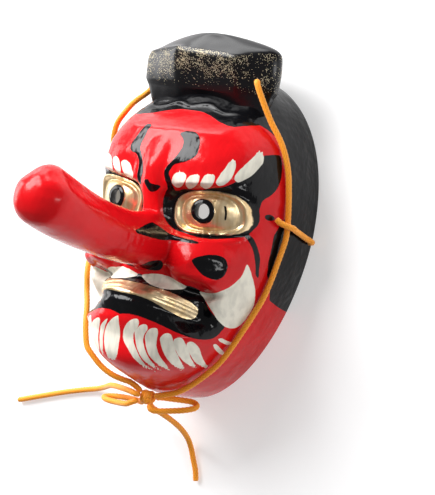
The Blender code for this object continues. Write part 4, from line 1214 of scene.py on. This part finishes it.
def apply_modifier(obj, kind, **settings):
    """Adds a modifier with its settings and applies it."""
    select_only(obj)
    modifier = obj.modifiers.new(kind.lower(), kind)
    for name, value in settings.items():
        setattr(modifier, name, value)
    bpy.ops.object.modifier_apply(modifier=modifier.name)


def raise_cap():
    """The cap's cage: its foot's outline, extruded level by level up to the crown of its dome."""
    bpy.ops.object.select_all(action='DESELECT')
    bpy.ops.mesh.primitive_circle_add(vertices=10, radius=1.0, fill_type='NGON')
    cap = bpy.context.object
    cap.name = "flecked_cap"
    ring = [in_metres(x, crown_y(x, z) - CAP_SEAT, z) for x, z in cap_outline(*CAP_FOOT)]
    for vertex, place in zip(cap.data.vertices, ring):
        vertex.co = place
    for y, scale, front_z, middle_z, lift_share in CAP_LEVELS:
        bpy.ops.object.mode_set(mode='EDIT')
        if y == CAP_LEVELS[0][0]:
            bpy.ops.mesh.select_all(action='SELECT')
        bpy.ops.mesh.extrude_region_move()
        bpy.ops.object.mode_set(mode='OBJECT')
        outline = cap_outline(scale, front_z, middle_z)
        level = [in_metres(x + shift, y + lift_share * lift, z)
                 for shift, lift, (x, z) in zip(CAP_SHIFTS, CAP_LIFTS, outline)]
        for vertex in cap.data.vertices:
            if vertex.select:
                nearest = min(range(len(ring)), key=lambda i: (vertex.co - ring[i]).length)
                vertex.co = level[nearest]
        ring = level
    return cap


def crease_cap(cap):
    """Firm edges between the cap's facets and round its foot, and none on the dome."""
    creases = cap.data.attributes.new("crease_edge", 'FLOAT', 'EDGE')
    for edge in cap.data.edges:
        one, other = (cap.data.vertices[i].co / MM for i in edge.vertices)
        low, high = sorted((one.y - CENTRE_Y, other.y - CENTRE_Y))
        upright = abs(one.y - other.y) > 1.5 and math.hypot(one.x - other.x, one.z - other.z) < 9.0
        if high > CAP_EDGE_Y + CAP_EDGE_REACH:
            firmness = 0.0
        elif upright:
            firmness = CAP_UPRIGHT_CREASE
        elif CAP_SOFT_Y < low < CAP_EDGE_Y - CAP_EDGE_REACH:
            firmness = CAP_SOFT_CREASE
        else:
            firmness = CAP_RING_CREASE
        creases.data[edge.index].value = firmness


def fleck_density(points, normals):
    """How many of the cap's flecks are kept: most on its front, fewer on its sides, none on the dome."""
    y = points[:, 1]
    front = rise(normals[:, 2], 0.86, 0.97)
    upward = rise(normals[:, 1], 0.5, 0.25)
    on_front = FRONT_FLECKS * rise(y, 75.0, 97.0)
    on_side = SIDE_FLECKS * rise(y, 75.0, 84.0)
    return upward * (on_side + (on_front - on_side) * front)


def view_axes():
    """The photograph's viewing direction: right and up in the picture, and towards the camera."""
    yaw, pitch, roll = (math.radians(v) for v in (VIEW_YAW, VIEW_PITCH, VIEW_ROLL))
    towards = Vector((math.sin(yaw) * math.cos(pitch), math.sin(pitch), math.cos(yaw) * math.cos(pitch)))
    level = (-towards).cross(Vector((0.0, 1.0, 0.0))).normalized()
    upright = level.cross(-towards)
    right = math.cos(roll) * level + math.sin(roll) * upright
    up = math.cos(roll) * upright - math.sin(roll) * level
    return right, up, towards


def add_camera():
    right, up, towards = view_axes()
    data = bpy.data.cameras.new("camera")
    data.sensor_fit = 'VERTICAL'
    data.sensor_height = 36.0
    data.lens = VIEW_LENS
    camera = bpy.data.objects.new("camera", data)
    bpy.context.collection.objects.link(camera)
    place = Vector(VIEW_AIM) + VIEW_DISTANCE * towards + VIEW_OFFSET[0] * right + VIEW_OFFSET[1] * up
    matrix = Matrix((right, up, towards)).transposed().to_4x4()
    matrix.translation = place
    camera.matrix_world = matrix
    bpy.context.scene.camera = camera


def add_softbox(name, place, size, power):
    """A large soft light that looks at the middle of the mask."""
    data = bpy.data.lights.new(name, 'AREA')
    data.shape = 'RECTANGLE'
    data.size, data.size_y = size
    data.energy = power
    light = bpy.data.objects.new(name, data)
    bpy.context.collection.objects.link(light)
    light.location = place
    light.rotation_euler = (Vector(VIEW_AIM) - Vector(place)).to_track_quat('-Z', 'Y').to_euler()


def floor_material():
    settings = bpy.context.scene.tengu_stage
    material, tree, shader = new_material("pale_paper")
    grain = noise(tree, 60.0, detail=4.0)
    tone = mix_colour(tree, grain, colour((0.64, 0.64, 0.646)), colour((0.68, 0.68, 0.686)))
    tree.links.new(tone, shader.inputs["Base Color"])
    shader.inputs["Roughness"].default_value = 0.9
    shader.inputs["Specular IOR Level"].default_value = 0.1
    shader.inputs["Emission Color"].default_value = (1.0, 1.0, 1.0, 1.0)
    shader.inputs["Emission Strength"].default_value = settings.floor_glow
    return material


class TENGU_OT_shell(bpy.types.Operator):
    """Carves the mask's shell, opens its pupils and paints it"""
    bl_idname = "tengu.shell"
    bl_label = "Mask Shell"

    def execute(self, context):
        form = context.scene.tengu_form
        points, faces = shell_mesh(form.around, NOSE_RINGS, FOOT_RINGS, form.face_rings, BOWL_RINGS,
                                   HOLLOW_RINGS)
        points = points + np.array([0.0, CENTRE_Y, 0.0])
        shell = mesh_object("painted_shell", points * MM, faces)
        for side in (-1, 1):
            drill = pupil_drill(side)
            apply_modifier(shell, 'BOOLEAN', operation='DIFFERENCE', solver='EXACT', object=drill)
            bpy.data.objects.remove(drill, do_unlink=True)
        select_only(shell)
        bpy.ops.object.shade_smooth_by_angle(angle=math.radians(50))
        place, normals = place_of(shell.data)
        for name, values in paint_distances(place, normals).items():
            store(shell.data, name, values)
        store(shell.data, "hollow", hollow_share(place))
        shell.data.materials.append(lacquer_material())
        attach(shell, "root")
        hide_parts("mask_shell")
        return {'FINISHED'}


class TENGU_OT_cap(bpy.types.Operator):
    """Raises the small faceted cap on the crown and strews its sides with gold flecks"""
    bl_idname = "tengu.cap"
    bl_label = "Flecked Cap"

    def execute(self, context):
        cap = raise_cap()
        crease_cap(cap)
        face_outward(cap)
        apply_modifier(cap, 'SUBSURF', levels=4, render_levels=4)
        bpy.ops.object.shade_smooth()
        place, normals = place_of(cap.data)
        store(cap.data, "fleck", fleck_density(place, normals))
        cap.data.materials.append(cap_material())
        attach(cap, "root")
        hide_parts("mask_shell")
        return {'FINISHED'}


class TENGU_OT_cords(bpy.types.Operator):
    """Braids the tie cord, its side loops, the bow's knot and loops and the two tails"""
    bl_idname = "tengu.cords"
    bl_label = "Braided Cords"

    def execute(self, context):
        braided_piece("braided_tie_left", [smooth_route(TIE_CORD_LEFT)], "tie_cord_left")
        braided_piece("braided_tie_right", [smooth_route(TIE_CORD_RIGHT)], "tie_cord_right")
        braided_piece("braided_side_loop_left", [smooth_route(SIDE_LOOP)], "side_loop_left")
        braided_piece("braided_side_loop_right", [smooth_route(SIDE_LOOP, -1.0)], "side_loop_right")
        braided_piece("wrapped_knot", knot_routes(), "bow_knot")
        free_cord("braided_bow_loop_left", BOW_LOOP_LEFT, "bow_loop_left")
        free_cord("braided_bow_loop_right", BOW_LOOP_RIGHT, "bow_loop_right")
        free_cord("braided_tail_left", TAIL_LEFT, "cord_tail_left")
        free_cord("braided_tail_right", TAIL_RIGHT, "cord_tail_right")
        return {'FINISHED'}


class TENGU_OT_stage(bpy.types.Operator):
    """Lays the pale floor, hangs the soft lights and sets the camera over the mask"""
    bl_idname = "tengu.stage"
    bl_label = "Stage"

    def execute(self, context):
        settings = context.scene.tengu_stage
        bpy.ops.object.select_all(action='DESELECT')
        bpy.ops.mesh.primitive_plane_add(size=FLOOR_SIZE, location=(0.0, 0.0, FLOOR_Z))
        floor = context.object
        floor.name = "floor"
        bpy.ops.object.transform_apply(location=True, rotation=False, scale=False)
        floor.data.materials.append(floor_material())
        for name, (place, size) in SOFTBOXES.items():
            add_softbox(name + "_light", place, size, getattr(settings, name + "_power"))
        world = bpy.data.worlds.new("room")
        world.use_nodes = True
        background = world.node_tree.nodes["Background"]
        background.inputs["Color"].default_value = (1.0, 1.0, 1.0, 1.0)
        background.inputs["Strength"].default_value = settings.sky
        context.scene.world = world
        context.scene.view_settings.view_transform = 'Standard'
        add_camera()
        return {'FINISHED'}


class TENGU_PT_panel(bpy.types.Panel):
    bl_label = "Tengu Mask"
    bl_idname = "TENGU_PT_panel"
    bl_space_type = 'VIEW_3D'
    bl_region_type = 'UI'
    bl_category = "Tengu Mask"

    def draw(self, context):
        scene = context.scene
        for group in (scene.tengu_form, scene.tengu_paint, scene.tengu_cord, scene.tengu_stage):
            box = self.layout.box()
            for name in group.__annotations__:
                box.prop(group, name)
        for operator in OPERATORS:
            self.layout.operator(operator.bl_idname)


SETTINGS = {"tengu_form": TenguFormSettings, "tengu_paint": TenguPaintSettings,
            "tengu_cord": TenguCordSettings, "tengu_stage": TenguStageSettings}
OPERATORS = (TENGU_OT_shell, TENGU_OT_cap, TENGU_OT_cords, TENGU_OT_stage)


def register():
    for group in SETTINGS.values():
        bpy.utils.register_class(group)
    for name, group in SETTINGS.items():
        setattr(bpy.types.Scene, name, bpy.props.PointerProperty(type=group))
    for operator in OPERATORS:
        bpy.utils.register_class(operator)
    bpy.utils.register_class(TENGU_PT_panel)


def unregister():
    bpy.utils.unregister_class(TENGU_PT_panel)
    for operator in reversed(OPERATORS):
        bpy.utils.unregister_class(operator)
    for name, group in reversed(SETTINGS.items()):
        delattr(bpy.types.Scene, name)
        bpy.utils.unregister_class(group)


def main():
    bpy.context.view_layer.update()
    register()
    bpy.ops.tengu.shell()
    bpy.ops.tengu.cap()
    bpy.ops.tengu.cords()
    bpy.ops.tengu.stage()


if __name__ == "__main__":
    main()
